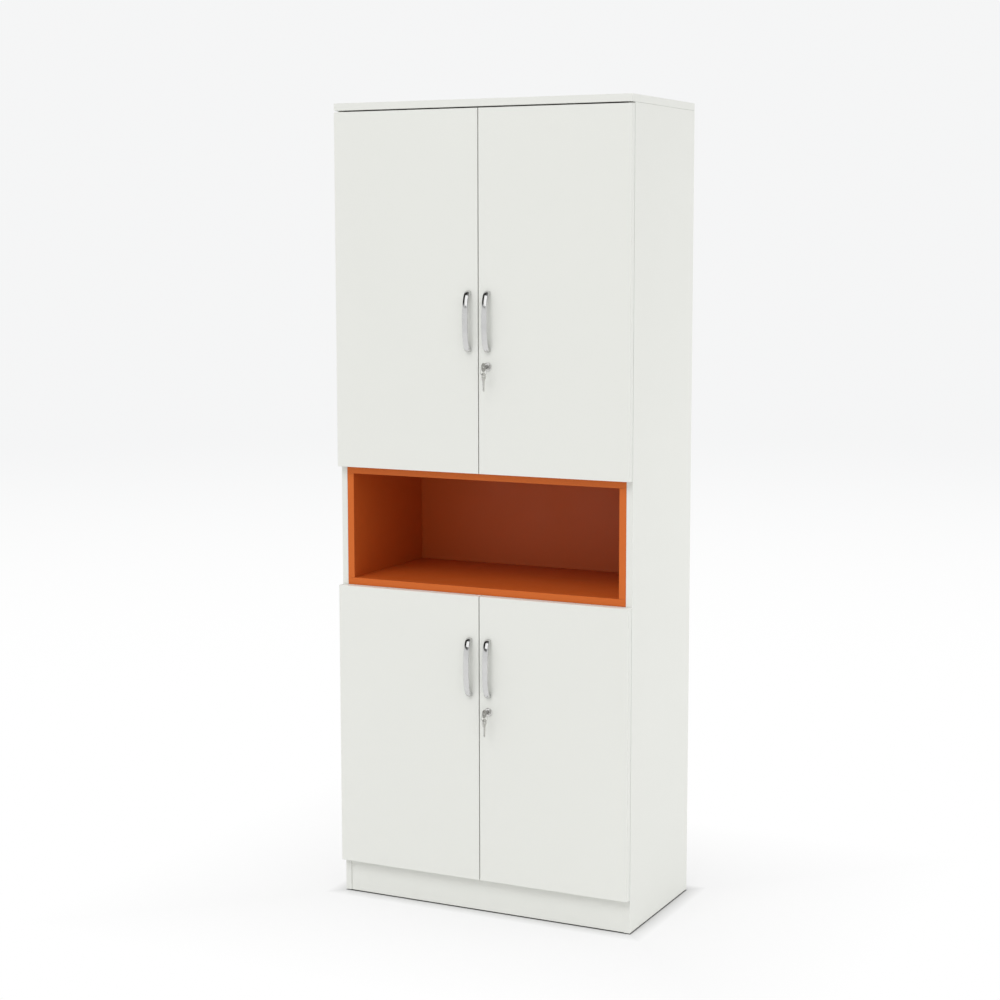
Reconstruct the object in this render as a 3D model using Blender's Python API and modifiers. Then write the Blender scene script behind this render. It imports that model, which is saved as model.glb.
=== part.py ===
"""A tall office file cabinet in coated board.

Two pairs of overlay doors on concealed cup hinges, an open coloured niche between the pairs, bow handles,
cam locks with their keys in the right leaves and slide bolts inside the left leaves.
Metres, +Z up, front towards -Y, origin on the floor under the middle of the whole object.
"""

import math

import bmesh
import bpy
from mathutils import Matrix, Vector

# Overall size
WIDTH = 0.800
HEIGHT = 2.020
CARCASS_DEPTH = 0.385

# Board thicknesses
SIDE_BOARD = 0.016
TOP_BOARD = 0.018
INNER_BOARD = 0.016
NICHE_BOARD = 0.018
DOOR_BOARD = 0.018
BACK_BOARD = 0.004
PLINTH_BOARD = 0.016
EDGE_ROUND = 0.0008

# Clearances
FIT = 0.0003
DOOR_STANDOFF = 0.002
LEAF_GAP = 0.0026
TOP_GAP = 0.0035
NICHE_REVEAL = 0.0005
DOOR_FOOT_REVEAL = 0.0012
SHELF_END_GAP = 0.001
PIN_PLAY = 0.0003

# Heights of the tiers
GLIDE_HEIGHT = 0.0025
PLINTH_HEIGHT = 0.083
PLINTH_SETBACK = 0.002
LOWER_DOOR_HEIGHT = 0.723
NICHE_HEIGHT = 0.304
SHELF_SETBACK = 0.030

# Glides and shelf pins, which sit in the side panels
GLIDE_RADIUS = 0.0065
GLIDE_INSET = 0.045
PEG_RADIUS = 0.0025
PEG_REACH = 0.007
PEG_INSET = 0.055

# Concealed cup hinge, measured inwards from the leaf's outer edge (u) and back from its inner face (v)
HINGE_END_DISTANCE = 0.100
CUP_CENTRE_U = 0.0225
CUP_RADIUS = 0.0175
CUP_DEPTH = 0.013
CUP_WALL = 0.0012
CUP_RIM = 0.001
FLANGE_THICKNESS = 0.0012
FLANGE_HALF_LENGTH = 0.025
FLANGE_WIDTH = 0.014
HINGE_PIN_RADIUS = 0.00125
LINK_EYE_WALL = 0.00135
LINK_EYE_GAP = 0.0019
LINK_HALF_WIDTH = 0.005
LINK_THICKNESS = 0.003
LINK_FLOOR_GAP = 0.001
LINK_NEAR_KNEE = 0.003
LINK_FAR_KNEE = 0.005
CUP_PIVOT_SINK = 0.004
ARM_PIVOT_SINK = 0.003
ARM_NOSE_WALL = 0.00235
ARM_NOSE_GAP = 0.0052
ARM_CHEEK = 0.0022
ARM_LENGTH = 0.060
ARM_TAPER = 0.020
ARM_WEB_START = 0.008
ARM_WEB = 0.0022
PLATE_THICKNESS = 0.0026
PLATE_START = 0.018
PLATE_HALF_WIDTH = 0.010
WING_HALF_LENGTH = 0.026
WING_WIDTH = 0.014
WING_THICKNESS = 0.0016

# Bow handle
HANDLE_LENGTH = 0.150
HANDLE_REACH = 0.024
HANDLE_WIDTH = 0.015
HANDLE_STRAP = 0.0045
HANDLE_FOOT = 0.011
HANDLE_FULLNESS = 2.5
HANDLE_ROUND = 0.0015
HANDLE_INSET = 0.0247
UPPER_HANDLE_RISE = 0.3725
LOWER_HANDLE_DROP = 0.179
SCREW_RADIUS = 0.002
SCREW_HEAD_RADIUS = 0.0042
SCREW_HEAD = 0.0022
SCREW_HOLE_PLAY = 0.0005

# Cam lock
LOCK_DROP = 0.1095
ROSETTE_RADIUS = 0.0105
ROSETTE_THICKNESS = 0.0026
BARREL_RADIUS = 0.0082
BARREL_TAIL = 0.006
PLUG_RADIUS = 0.0055
PLUG_RECESS = 0.0004
CAM_LENGTH = 0.038
CAM_HALF_WIDTH = 0.0065
CAM_THICKNESS = 0.0024
CAM_NUT_RADIUS = 0.0042
CAM_NUT = 0.003

# Flat keys and their ring
KEY_THICKNESS = 0.0022
KEY_BOW_OUT = 0.024
KEY_BOW_RADIUS = 0.0105
KEY_HOLE_RADIUS = 0.0035
KEY_NECK_HALF = 0.0042
KEY_BLADE_HALF = 0.0032
KEY_BLADE_LENGTH = 0.015
KEY_SLOT_PLAY = 0.0003
KEY_TIP_PLAY = 0.0015
RING_INNER_RADIUS = 0.008
RING_WIRE = 0.0008
RING_SLACK = 0.0005

# Slide bolt inside each left leaf
BOLT_INSET = 0.042
BOLT_RADIUS = 0.003
BOLT_PLAY = 0.0003
BOLT_AXIS_OFF = 0.0062
BOLT_TRAVEL = 0.014
BOLT_TIP_GAP = 0.0015
BOLT_LUG = 0.005
BOLT_LUG_SPACING = 0.030
BOLT_LUG_WALL = 0.002
BOLT_PLATE = 0.0016
BOLT_PLATE_HALF_WIDTH = 0.010
BOLT_PLATE_END = 0.005
BOLT_GUIDE_GAP = 0.010
BOLT_KNOB_RADIUS = 0.003
BOLT_KNOB_REACH = 0.009

# Facets of the round shapes
CUP_SIDES = 20
PIN_SIDES = 8
ROD_SIDES = 12
LOCK_SIDES = 20
PLUG_SIDES = 16
NUT_SIDES = 6
RING_SIDES = 20
NOSE_STEPS = 8
BOW_STEPS = 18
ARCH_STEPS = 12

# Planes worked out from the sizes above
KEY_REACH = KEY_BOW_OUT + KEY_BOW_RADIUS
FRONT_REACH = DOOR_STANDOFF + DOOR_BOARD + max(KEY_REACH, HANDLE_REACH)
CARCASS_FRONT = (FRONT_REACH - CARCASS_DEPTH) / 2
CARCASS_BACK = CARCASS_FRONT + CARCASS_DEPTH
DOOR_BACK = CARCASS_FRONT - DOOR_STANDOFF
DOOR_FRONT = DOOR_BACK - DOOR_BOARD
INNER_BACK = CARCASS_BACK - BACK_BOARD - FIT
HALF = WIDTH / 2
INNER_HALF = HALF - SIDE_BOARD
TOP_UNDERSIDE = HEIGHT - TOP_BOARD
PLINTH_HEAD = GLIDE_HEIGHT + PLINTH_HEIGHT
BOTTOM_FOOT = PLINTH_HEAD + FIT
BOTTOM_HEAD = BOTTOM_FOOT + INNER_BOARD
LOWER_DOOR_FOOT = BOTTOM_FOOT + DOOR_FOOT_REVEAL
LOWER_DOOR_HEAD = LOWER_DOOR_FOOT + LOWER_DOOR_HEIGHT
NICHE_FOOT = LOWER_DOOR_HEAD + NICHE_REVEAL
NICHE_HEAD = NICHE_FOOT + NICHE_HEIGHT
CEILING_HEAD = NICHE_FOOT - FIT
CEILING_FOOT = CEILING_HEAD - INNER_BOARD
FLOOR_FOOT = NICHE_HEAD + FIT
FLOOR_HEAD = FLOOR_FOOT + INNER_BOARD
UPPER_DOOR_FOOT = NICHE_HEAD + NICHE_REVEAL
UPPER_DOOR_HEAD = TOP_UNDERSIDE - TOP_GAP
LINK_EYE = HINGE_PIN_RADIUS + PIN_PLAY + LINK_EYE_WALL
ARM_NOSE = HINGE_PIN_RADIUS + ARM_NOSE_WALL
CUP_INNER_RADIUS = CUP_RADIUS - CUP_WALL
CUP_FLOOR = -CUP_DEPTH + CUP_WALL
CUP_PIVOT = (CUP_CENTRE_U - CUP_INNER_RADIUS + LINK_EYE + LINK_EYE_GAP, -CUP_PIVOT_SINK)
ARM_PIVOT = (CUP_CENTRE_U + CUP_INNER_RADIUS - ARM_NOSE - ARM_NOSE_GAP, -ARM_PIVOT_SINK)
LINK_DIP = CUP_FLOOR + LINK_FLOOR_GAP + LINK_THICKNESS / 2
BOLT_GUIDE_HALF = BOLT_LUG_SPACING / 2 + BOLT_LUG / 2 + BOLT_PLATE_END
DOOR_SPANS = {
    "lower": (LOWER_DOOR_FOOT, LOWER_DOOR_HEAD),
    "upper": (UPPER_DOOR_FOOT, UPPER_DOOR_HEAD),
}
HANDLE_HEIGHTS = {
    "lower": LOWER_DOOR_HEAD - LOWER_HANDLE_DROP,
    "upper": UPPER_DOOR_FOOT + UPPER_HANDLE_RISE,
}
HANDS = {"left": 1, "right": -1}

for leftover in list(bpy.data.objects):
    bpy.data.objects.remove(leftover)


def collection(name):
    made = bpy.data.collections.new(name)
    bpy.context.scene.collection.children.link(made)
    return made


PARTS = collection("file_cabinet")
CUTTERS = collection("cutters")


def paint(name, colour, roughness, metallic=0.0):
    made = bpy.data.materials.new(name)
    made.use_nodes = True
    shader = made.node_tree.nodes["Principled BSDF"]
    shader.inputs["Base Color"].default_value = (*colour, 1.0)
    shader.inputs["Roughness"].default_value = roughness
    shader.inputs["Metallic"].default_value = metallic
    return made


WHITE_BOARD = paint("white_coated_board", (0.80, 0.80, 0.77), 0.45)
ORANGE_BOARD = paint("orange_coated_board", (0.60, 0.13, 0.03), 0.45)
BACK_SHEET = paint("white_hardboard", (0.74, 0.74, 0.71), 0.60)
CHROME = paint("satin_chrome", (0.78, 0.78, 0.78), 0.18, 1.0)
HINGE_STEEL = paint("nickel_plated_steel", (0.62, 0.61, 0.59), 0.30, 1.0)
LOCK_METAL = paint("lock_nickel", (0.55, 0.54, 0.52), 0.28, 1.0)
KEY_METAL = paint("key_nickel", (0.58, 0.57, 0.55), 0.32, 1.0)


# Bodies: an empty on each joint's axis carries the pieces that move about it
PLACES = {}


def body(name, place, parent=None):
    empty = bpy.data.objects.new(name, None)
    PARTS.objects.link(empty)
    PLACES[name] = Vector(place)
    carry(empty, place, parent)
    return empty


def carry(piece, place, parent):
    """Places a piece at a world point, under the body that carries it."""
    piece.parent = parent
    piece.location = Vector(place) - (PLACES[parent.name] if parent else Vector())


def node(name, mesh, material, place, parent):
    made = bpy.data.objects.new(name, mesh)
    if not mesh.materials:
        mesh.materials.append(material)
    PARTS.objects.link(made)
    carry(made, place, parent)
    return made


# Solids from primitives, outlines and turned profiles
def mesh_of(work, name):
    bmesh.ops.recalc_face_normals(work, faces=work.faces)
    made = bpy.data.meshes.new(name)
    work.to_mesh(made)
    work.free()
    return made


def block_mesh(low, high, name="block"):
    work = bmesh.new()
    bmesh.ops.create_cube(work, size=1.0)
    low, high = Vector(low), Vector(high)
    bmesh.ops.scale(work, vec=high - low, verts=work.verts)
    bmesh.ops.translate(work, vec=(low + high) / 2, verts=work.verts)
    return mesh_of(work, name)


def rod_mesh(radius, start, end, sides, name="rod"):
    """A round rod from one point to another."""
    start, end = Vector(start), Vector(end)
    along = end - start
    work = bmesh.new()
    bmesh.ops.create_cone(
        work, cap_ends=True, segments=sides, radius1=radius, radius2=radius, depth=along.length
    )
    turn = Vector((0, 0, 1)).rotation_difference(along.normalized()).to_matrix().to_4x4()
    bmesh.ops.transform(work, matrix=Matrix.Translation((start + end) / 2) @ turn, verts=work.verts)
    return mesh_of(work, name)


def evaluated_mesh(thing, weld=False):
    """The thing's mesh after its modifiers; the thing itself is removed."""
    bpy.context.view_layer.update()
    view = bpy.context.evaluated_depsgraph_get()
    made = bpy.data.meshes.new_from_object(thing.evaluated_get(view))
    if weld:
        work = bmesh.new()
        work.from_mesh(made)
        bmesh.ops.remove_doubles(work, verts=work.verts, dist=0.00001)
        bmesh.ops.recalc_face_normals(work, faces=work.faces)
        work.to_mesh(made)
        work.free()
    bpy.data.objects.remove(thing)
    return made


def prism_mesh(outlines, half_height, name="prism"):
    """Flat outlines in X and Y, the later ones holes in the first, raised to both sides of Z = 0."""
    curve = bpy.data.curves.new(name, "CURVE")
    curve.dimensions = "2D"
    curve.fill_mode = "BOTH"
    curve.extrude = half_height
    for outline in outlines:
        spline = curve.splines.new("POLY")
        spline.points.add(len(outline) - 1)
        spline.use_cyclic_u = True
        for point, (x, y) in zip(spline.points, outline):
            point.co = (x, y, 0, 1)
    flat = bpy.data.objects.new(name, curve)
    CUTTERS.objects.link(flat)
    return evaluated_mesh(flat, weld=True)


def turned_mesh(profile, sides, name="turned"):
    """A profile of radius and height, from the axis to the axis, turned about Z."""
    outline = bpy.data.meshes.new(name)
    points = [(radius, 0, height) for radius, height in profile]
    outline.from_pydata(points, [(i, i + 1) for i in range(len(points) - 1)], [])
    thing = bpy.data.objects.new(name, outline)
    CUTTERS.objects.link(thing)
    screw = thing.modifiers.new("turn", "SCREW")
    screw.steps = sides
    screw.render_steps = sides
    screw.use_merge_vertices = True
    screw.merge_threshold = 0.00001
    screw.use_smooth_shade = False
    return evaluated_mesh(thing, weld=True)


def arc(centre, radius, start, end, steps):
    """Points on an arc, both ends included, angles in degrees."""
    angles = [math.radians(start + (end - start) * i / steps) for i in range(steps + 1)]
    return [(centre[0] + radius * math.cos(a), centre[1] + radius * math.sin(a)) for a in angles]


def hidden_tool(mesh, matrix=None):
    tool = bpy.data.objects.new("tool_" + mesh.name, mesh)
    tool.hide_render = True
    tool.display_type = "WIRE"
    if matrix:
        tool.matrix_world = matrix
    CUTTERS.objects.link(tool)
    return tool


def work_with(thing, operation, mesh, matrix=None):
    """Adds a Boolean step with its own hidden tool."""
    step = thing.modifiers.new(operation.lower(), "BOOLEAN")
    step.operation = operation
    step.solver = "EXACT"
    step.object = hidden_tool(mesh, matrix)


def joined_mesh(base, added=(), removed=(), name="joined"):
    """One mesh: a base with solids added to it, then others cut from it."""
    thing = bpy.data.objects.new(name, base)
    CUTTERS.objects.link(thing)
    for mesh in added:
        work_with(thing, "UNION", mesh)
    for mesh in removed:
        work_with(thing, "DIFFERENCE", mesh)
    tools = [step.object for step in thing.modifiers]
    made = evaluated_mesh(thing)
    for tool in tools:
        bpy.data.objects.remove(tool)
    made.name = name
    return made


def turned_about(mesh, turn):
    mesh.transform(turn)
    return mesh


TO_BACK = Matrix.Rotation(-math.pi / 2, 4, "X")
TO_FRONT = Matrix.Rotation(math.pi / 2, 4, "X")


def board(name, low, high, material, parent):
    """A board between two world corners, its edges just broken."""
    low, high = Vector(low), Vector(high)
    middle = (low + high) / 2
    made = node(name, block_mesh(low - middle, high - middle, name), material, middle, parent)
    edge = made.modifiers.new("broken_edge", "BEVEL")
    edge.width = EDGE_ROUND
    edge.segments = 1
    return made


# Carcass
def shelf_levels():
    """Underside of each loose shelf, evenly spaced in its bay."""
    bays = {
        "shelf_upper": (FLOOR_HEAD, TOP_UNDERSIDE, 2),
        "shelf_lower": (BOTTOM_HEAD, CEILING_FOOT, 1),
    }
    levels = {}
    for name, (foot, head, count) in bays.items():
        clear = (head - foot - count * INNER_BOARD) / (count + 1)
        for i in range(count):
            levels[f"{name}_{i + 1}"] = foot + clear * (i + 1) + INNER_BOARD * i
    return levels


def side_panel(name, hand, carcass):
    outer = -hand * HALF
    inner = -hand * INNER_HALF
    low = (min(outer, inner), CARCASS_FRONT, GLIDE_HEIGHT)
    high = (max(outer, inner), CARCASS_BACK, TOP_UNDERSIDE - FIT)
    made = board(name, low, high, WHITE_BOARD, carcass)
    middle = (outer + inner) / 2
    for y in (CARCASS_FRONT + GLIDE_INSET, CARCASS_BACK - GLIDE_INSET):
        head = GLIDE_HEIGHT + FIT
        glide = rod_mesh(GLIDE_RADIUS, (middle, y, 0), (middle, y, head), ROD_SIDES, "glide")
        work_with(made, "UNION", glide)
    for level in shelf_levels().values():
        z = level - FIT - PEG_RADIUS
        for y in (CARCASS_FRONT + SHELF_SETBACK + PEG_INSET, INNER_BACK - PEG_INSET):
            tip = (inner + hand * PEG_REACH, y, z)
            work_with(made, "UNION", rod_mesh(PEG_RADIUS, (middle, y, z), tip, PIN_SIDES, "peg"))


def bolt_hole(panel):
    """The hole that the left leaf's slide bolt drops into."""
    x = meeting_x(HANDS["left"], BOLT_INSET)
    y = DOOR_BACK + BOLT_AXIS_OFF
    z = panel.location.z
    ends = (x, y, z - INNER_BOARD), (x, y, z + INNER_BOARD)
    work_with(panel, "DIFFERENCE", rod_mesh(BOLT_RADIUS + BOLT_PLAY, *ends, ROD_SIDES, "bolt_hole"))


def build_carcass():
    carcass = body("carcass", (0, 0, 0))
    for side, hand in HANDS.items():
        side_panel("side_panel_" + side, hand, carcass)
    inside = INNER_HALF - FIT
    top_low = (-HALF, DOOR_FRONT, TOP_UNDERSIDE)
    board("top_panel", top_low, (HALF, CARCASS_BACK, HEIGHT), WHITE_BOARD, carcass)
    board(
        "plinth_board",
        (-inside, CARCASS_FRONT + PLINTH_SETBACK, GLIDE_HEIGHT),
        (inside, CARCASS_FRONT + PLINTH_SETBACK + PLINTH_BOARD, PLINTH_HEAD),
        WHITE_BOARD,
        carcass,
    )
    board(
        "back_panel",
        (-inside, CARCASS_BACK - BACK_BOARD, BOTTOM_FOOT),
        (inside, CARCASS_BACK, TOP_UNDERSIDE - FIT),
        BACK_SHEET,
        carcass,
    )
    panels = {
        "bottom_panel": BOTTOM_FOOT,
        "lower_ceiling_panel": CEILING_FOOT,
        "upper_floor_panel": FLOOR_FOOT,
    }
    for name, foot in panels.items():
        made = board(
            name,
            (-inside, CARCASS_FRONT, foot),
            (inside, INNER_BACK, foot + INNER_BOARD),
            WHITE_BOARD,
            carcass,
        )
        if name != "bottom_panel":
            bolt_hole(made)
    shelf_half = INNER_HALF - SHELF_END_GAP
    for name, level in shelf_levels().items():
        board(
            name,
            (-shelf_half, CARCASS_FRONT + SHELF_SETBACK, level),
            (shelf_half, INNER_BACK, level + INNER_BOARD),
            WHITE_BOARD,
            carcass,
        )
    build_niche(carcass, inside)
    return carcass


def build_niche(carcass, inside):
    """An open box of coloured board between the two fixed panels."""
    floor_head = NICHE_FOOT + NICHE_BOARD
    roof_foot = NICHE_HEAD - NICHE_BOARD
    back_front = INNER_BACK - NICHE_BOARD
    for name, foot in (("niche_floor", NICHE_FOOT), ("niche_roof", roof_foot)):
        board(
            name,
            (-inside, CARCASS_FRONT, foot),
            (inside, INNER_BACK, foot + NICHE_BOARD),
            ORANGE_BOARD,
            carcass,
        )
    for side, hand in HANDS.items():
        ends = sorted((-hand * inside, -hand * (inside - NICHE_BOARD)))
        board(
            "niche_cheek_" + side,
            (ends[0], CARCASS_FRONT, floor_head + FIT),
            (ends[1], INNER_BACK, roof_foot - FIT),
            ORANGE_BOARD,
            carcass,
        )
    back_half = inside - NICHE_BOARD - FIT
    board(
        "niche_back",
        (-back_half, back_front, floor_head + FIT),
        (back_half, INNER_BACK, roof_foot - FIT),
        ORANGE_BOARD,
        carcass,
    )


# Concealed hinge: arm on the side panel, gooseneck link, cup in the door
def handed(points, hand):
    return [(hand * u, v) for u, v in points]


def cup_mesh(hand):
    rim_head = FIT + FLANGE_THICKNESS
    profile = [
        (0, CUP_FLOOR),
        (CUP_INNER_RADIUS, CUP_FLOOR),
        (CUP_INNER_RADIUS, rim_head),
        (CUP_RADIUS + CUP_RIM, rim_head),
        (CUP_RADIUS + CUP_RIM, FIT),
        (CUP_RADIUS, FIT),
        (CUP_RADIUS, -CUP_DEPTH),
        (0, -CUP_DEPTH),
    ]
    cup = turned_about(turned_mesh(profile, CUP_SIDES), TO_BACK)
    cup.transform(Matrix.Translation((hand * CUP_CENTRE_U, 0, 0)))
    centre = hand * CUP_CENTRE_U
    half = FLANGE_WIDTH / 2
    wall_middle = CUP_RADIUS - CUP_WALL / 2
    ears = []
    for way in (-1, 1):
        ends = sorted((way * wall_middle, way * FLANGE_HALF_LENGTH))
        ears.append(block_mesh((centre - half, FIT, ends[0]), (centre + half, rim_head, ends[1]), "ear"))
    u, v = CUP_PIVOT
    chord = math.sqrt(wall_middle**2 - (CUP_CENTRE_U - u) ** 2)
    pin = rod_mesh(HINGE_PIN_RADIUS, (hand * u, v, -chord), (hand * u, v, chord), PIN_SIDES, "pin")
    return joined_mesh(cup, added=[*ears, pin], name="hinge_cup")


def link_mesh(hand):
    """A gooseneck that dips into the cup, so that the cup's rim swings clear of it."""
    half = LINK_THICKNESS / 2
    low, high = LINK_DIP - half, LINK_DIP + half
    pu, pv = CUP_PIVOT
    bu, bv = ARM_PIVOT
    near, far = pu + LINK_NEAR_KNEE, bu - LINK_FAR_KNEE
    neck = [
        (pu - half, pv),
        (near - half, low),
        (far + half, low),
        (bu + half, bv),
        (bu - half, bv),
        (far - half, high),
        (near + half, high),
        (pu + half, pv),
    ]
    bar = prism_mesh([handed(neck, hand)], LINK_HALF_WIDTH)
    eyes = []
    holes = []
    for u, v in (CUP_PIVOT, ARM_PIVOT):
        ends = [(hand * u, v, -LINK_HALF_WIDTH), (hand * u, v, LINK_HALF_WIDTH)]
        eyes.append(rod_mesh(LINK_EYE, *ends, ROD_SIDES, "eye"))
        past = [(hand * u, v, -2 * LINK_HALF_WIDTH), (hand * u, v, 2 * LINK_HALF_WIDTH)]
        holes.append(rod_mesh(HINGE_PIN_RADIUS + PIN_PLAY, *past, PIN_SIDES, "hole"))
    return joined_mesh(bar, added=eyes, removed=holes, name="hinge_link")


def arm_mesh(hand):
    """A channel on a winged plate, with the pin that the link turns on between its cheeks."""
    bu, bv = ARM_PIVOT
    ridge = bu + ARM_NOSE
    root = SIDE_BOARD + FIT
    plate_head = root + PLATE_THICKNESS
    crown = plate_head - FIT
    tail = ridge - ARM_NOSE
    cheek_outline = [
        (ridge, ARM_LENGTH - ARM_TAPER),
        (tail, ARM_LENGTH),
        (crown, ARM_LENGTH),
        (crown, PLATE_START),
        (bu - ARM_NOSE, ARM_WEB_START),
        *arc((bu, bv), ARM_NOSE, 180, 360, NOSE_STEPS),
    ]
    inner = LINK_HALF_WIDTH + FIT
    outer = inner + ARM_CHEEK
    cheeks = []
    for way in (-1, 1):
        cheek = prism_mesh([handed(cheek_outline, hand)], ARM_CHEEK / 2, "cheek")
        cheek.transform(Matrix.Translation((0, 0, way * (inner + outer) / 2)))
        cheeks.append(cheek)
    web_outline = [
        (ridge, ARM_WEB_START),
        (ridge, ARM_LENGTH - ARM_TAPER),
        (tail, ARM_LENGTH),
        (tail - ARM_WEB, ARM_LENGTH),
        (ridge - ARM_WEB, ARM_LENGTH - ARM_TAPER),
        (ridge - ARM_WEB, ARM_WEB_START),
    ]
    web = prism_mesh([handed(web_outline, hand)], inner + ARM_CHEEK / 2, "web")
    ends = sorted((hand * root, hand * plate_head))
    plate = block_mesh(
        (ends[0], PLATE_START, -PLATE_HALF_WIDTH),
        (ends[1], ARM_LENGTH + FIT, PLATE_HALF_WIDTH),
        "plate",
    )
    wing_middle = (PLATE_START + ARM_LENGTH) / 2
    wing_ends = sorted((hand * root, hand * (root + WING_THICKNESS)))
    wing = block_mesh(
        (wing_ends[0], wing_middle - WING_WIDTH / 2, -WING_HALF_LENGTH),
        (wing_ends[1], wing_middle + WING_WIDTH / 2, WING_HALF_LENGTH),
        "wing",
    )
    pin_end = inner + ARM_CHEEK / 2
    pin_ends = (hand * bu, bv, -pin_end), (hand * bu, bv, pin_end)
    pin = rod_mesh(HINGE_PIN_RADIUS, *pin_ends, PIN_SIDES, "pin")
    return joined_mesh(plate, added=[wing, *cheeks, web, pin], name="hinge_arm")


# Handles
def arch_outline():
    """Side view of the bow: a full arch outside and a flatter one inside, both standing on the door."""

    def bow(half_length, reach):
        points = []
        for i in range(ARCH_STEPS + 1):
            angle = math.pi * i / ARCH_STEPS
            run, rise = math.cos(angle), max(math.sin(angle), 0)
            power = 2 / HANDLE_FULLNESS
            points.append((math.copysign(abs(run) ** power, run) * half_length, rise**power * reach))
        return points

    outside = bow(HANDLE_LENGTH / 2, HANDLE_REACH - FIT)
    inside = bow(HANDLE_LENGTH / 2 - HANDLE_FOOT, HANDLE_REACH - FIT - HANDLE_STRAP)
    return outside + inside[::-1]


def handle_mesh():
    """The bow with its two machine screws, whose heads sit on the leaf's inner face."""
    curve_mesh = prism_mesh([arch_outline()], HANDLE_WIDTH / 2, "bow")
    bow = bpy.data.objects.new("bow", curve_mesh)
    CUTTERS.objects.link(bow)
    edge = bow.modifiers.new("round", "BEVEL")
    edge.width = HANDLE_ROUND
    edge.segments = 1
    edge.limit_method = "ANGLE"
    edge.angle_limit = math.radians(60)
    bow_mesh = evaluated_mesh(bow)
    # The outline's run becomes Z and its rise points out of the door
    bow_mesh.transform(Matrix(((0, 0, 1, 0), (0, -1, 0, -FIT), (1, 0, 0, 0), (0, 0, 0, 1))))
    screws = []
    for way in (-1, 1):
        z = way * screw_rise()
        inner = DOOR_BOARD + FIT
        head = (0, inner, z), (0, inner + SCREW_HEAD, z)
        screws.append(rod_mesh(SCREW_RADIUS, (0, -HANDLE_STRAP, z), (0, inner + FIT, z), PIN_SIDES, "screw"))
        screws.append(rod_mesh(SCREW_HEAD_RADIUS, *head, ROD_SIDES, "head"))
    return joined_mesh(bow_mesh, added=screws, name="bow_handle")


def screw_rise():
    return HANDLE_LENGTH / 2 - HANDLE_FOOT / 2


# Locks and keys
def lock_body_mesh():
    """The rosette on the door's face and the barrel through it, bored for the plug."""
    bore = PLUG_RADIUS + PIN_PLAY
    tail = -DOOR_BOARD - BARREL_TAIL
    profile = [
        (bore, tail),
        (bore, ROSETTE_THICKNESS),
        (ROSETTE_RADIUS - ROSETTE_THICKNESS / 2, ROSETTE_THICKNESS),
        (ROSETTE_RADIUS, ROSETTE_THICKNESS / 2),
        (ROSETTE_RADIUS, FIT),
        (BARREL_RADIUS, FIT),
        (BARREL_RADIUS, tail),
        (bore, tail),
    ]
    return turned_about(turned_mesh(profile, LOCK_SIDES, "lock_body"), TO_FRONT)


def lock_plug_mesh():
    """The turning plug with its keyway, and the cam that it carries behind the door, pointing down."""
    tail = DOOR_BOARD + BARREL_TAIL + FIT
    face = -(ROSETTE_THICKNESS - PLUG_RECESS)
    plug = rod_mesh(PLUG_RADIUS, (0, face, 0), (0, tail + CAM_THICKNESS, 0), PLUG_SIDES, "plug")
    nut_ends = (0, tail + CAM_THICKNESS / 2, 0), (0, tail + CAM_THICKNESS + CAM_NUT, 0)
    nut = rod_mesh(CAM_NUT_RADIUS, *nut_ends, NUT_SIDES, "nut")
    tip = CAM_LENGTH - CAM_HALF_WIDTH
    outline = [
        *arc((0, 0), CAM_HALF_WIDTH, 0, 180, NOSE_STEPS),
        *arc((0, -tip), CAM_HALF_WIDTH, 180, 360, NOSE_STEPS),
    ]
    cam = turned_about(prism_mesh([outline], CAM_THICKNESS / 2, "cam"), TO_FRONT)
    cam.transform(Matrix.Translation((0, tail + CAM_THICKNESS / 2, 0)))
    slot = KEY_BLADE_HALF + KEY_SLOT_PLAY
    slot_half = KEY_THICKNESS / 2 + KEY_SLOT_PLAY
    slot_end = KEY_BLADE_LENGTH - ROSETTE_THICKNESS + KEY_TIP_PLAY
    keyway = block_mesh((-slot_half, 2 * face, -slot), (slot_half, slot_end, slot), "keyway")
    return joined_mesh(plug, added=[cam, nut], removed=[keyway], name="lock_plug")


def key_outline():
    """Bow, neck and blade of a flat key, tip towards +X, bow centred on the origin."""
    neck_start = math.degrees(math.asin(KEY_NECK_HALF / KEY_BOW_RADIUS))
    neck_end = KEY_BOW_OUT - ROSETTE_THICKNESS - FIT
    blade_end = neck_end + KEY_BLADE_LENGTH - KEY_BLADE_HALF
    return [
        *arc((0, 0), KEY_BOW_RADIUS, neck_start, 360 - neck_start, BOW_STEPS),
        (neck_end, -KEY_NECK_HALF),
        (neck_end, -KEY_BLADE_HALF),
        (blade_end, -KEY_BLADE_HALF),
        (blade_end + KEY_BLADE_HALF, 0),
        (blade_end, KEY_BLADE_HALF),
        (neck_end, KEY_BLADE_HALF),
        (neck_end, KEY_NECK_HALF),
    ]


def flat_key_mesh(name):
    hole = arc((0, 0), KEY_HOLE_RADIUS, 0, 360, ROD_SIDES)[:-1]
    return prism_mesh([key_outline(), hole], KEY_THICKNESS / 2, name)


def key_mesh():
    """A flat key standing on edge, blade towards the door and bow towards the front."""
    flat = flat_key_mesh("key")
    # Blade along +Y and the flat sides facing left and right
    flat.transform(Matrix(((0, 0, 1, 0), (1, 0, 0, -KEY_BOW_OUT), (0, 1, 0, 0), (0, 0, 0, 1))))
    return flat


def bow_web():
    """Height of the bow's material below the key hole, and the depth of its middle under the key's axis."""
    return KEY_BOW_RADIUS - KEY_HOLE_RADIUS, (KEY_BOW_RADIUS + KEY_HOLE_RADIUS) / 2


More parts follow.
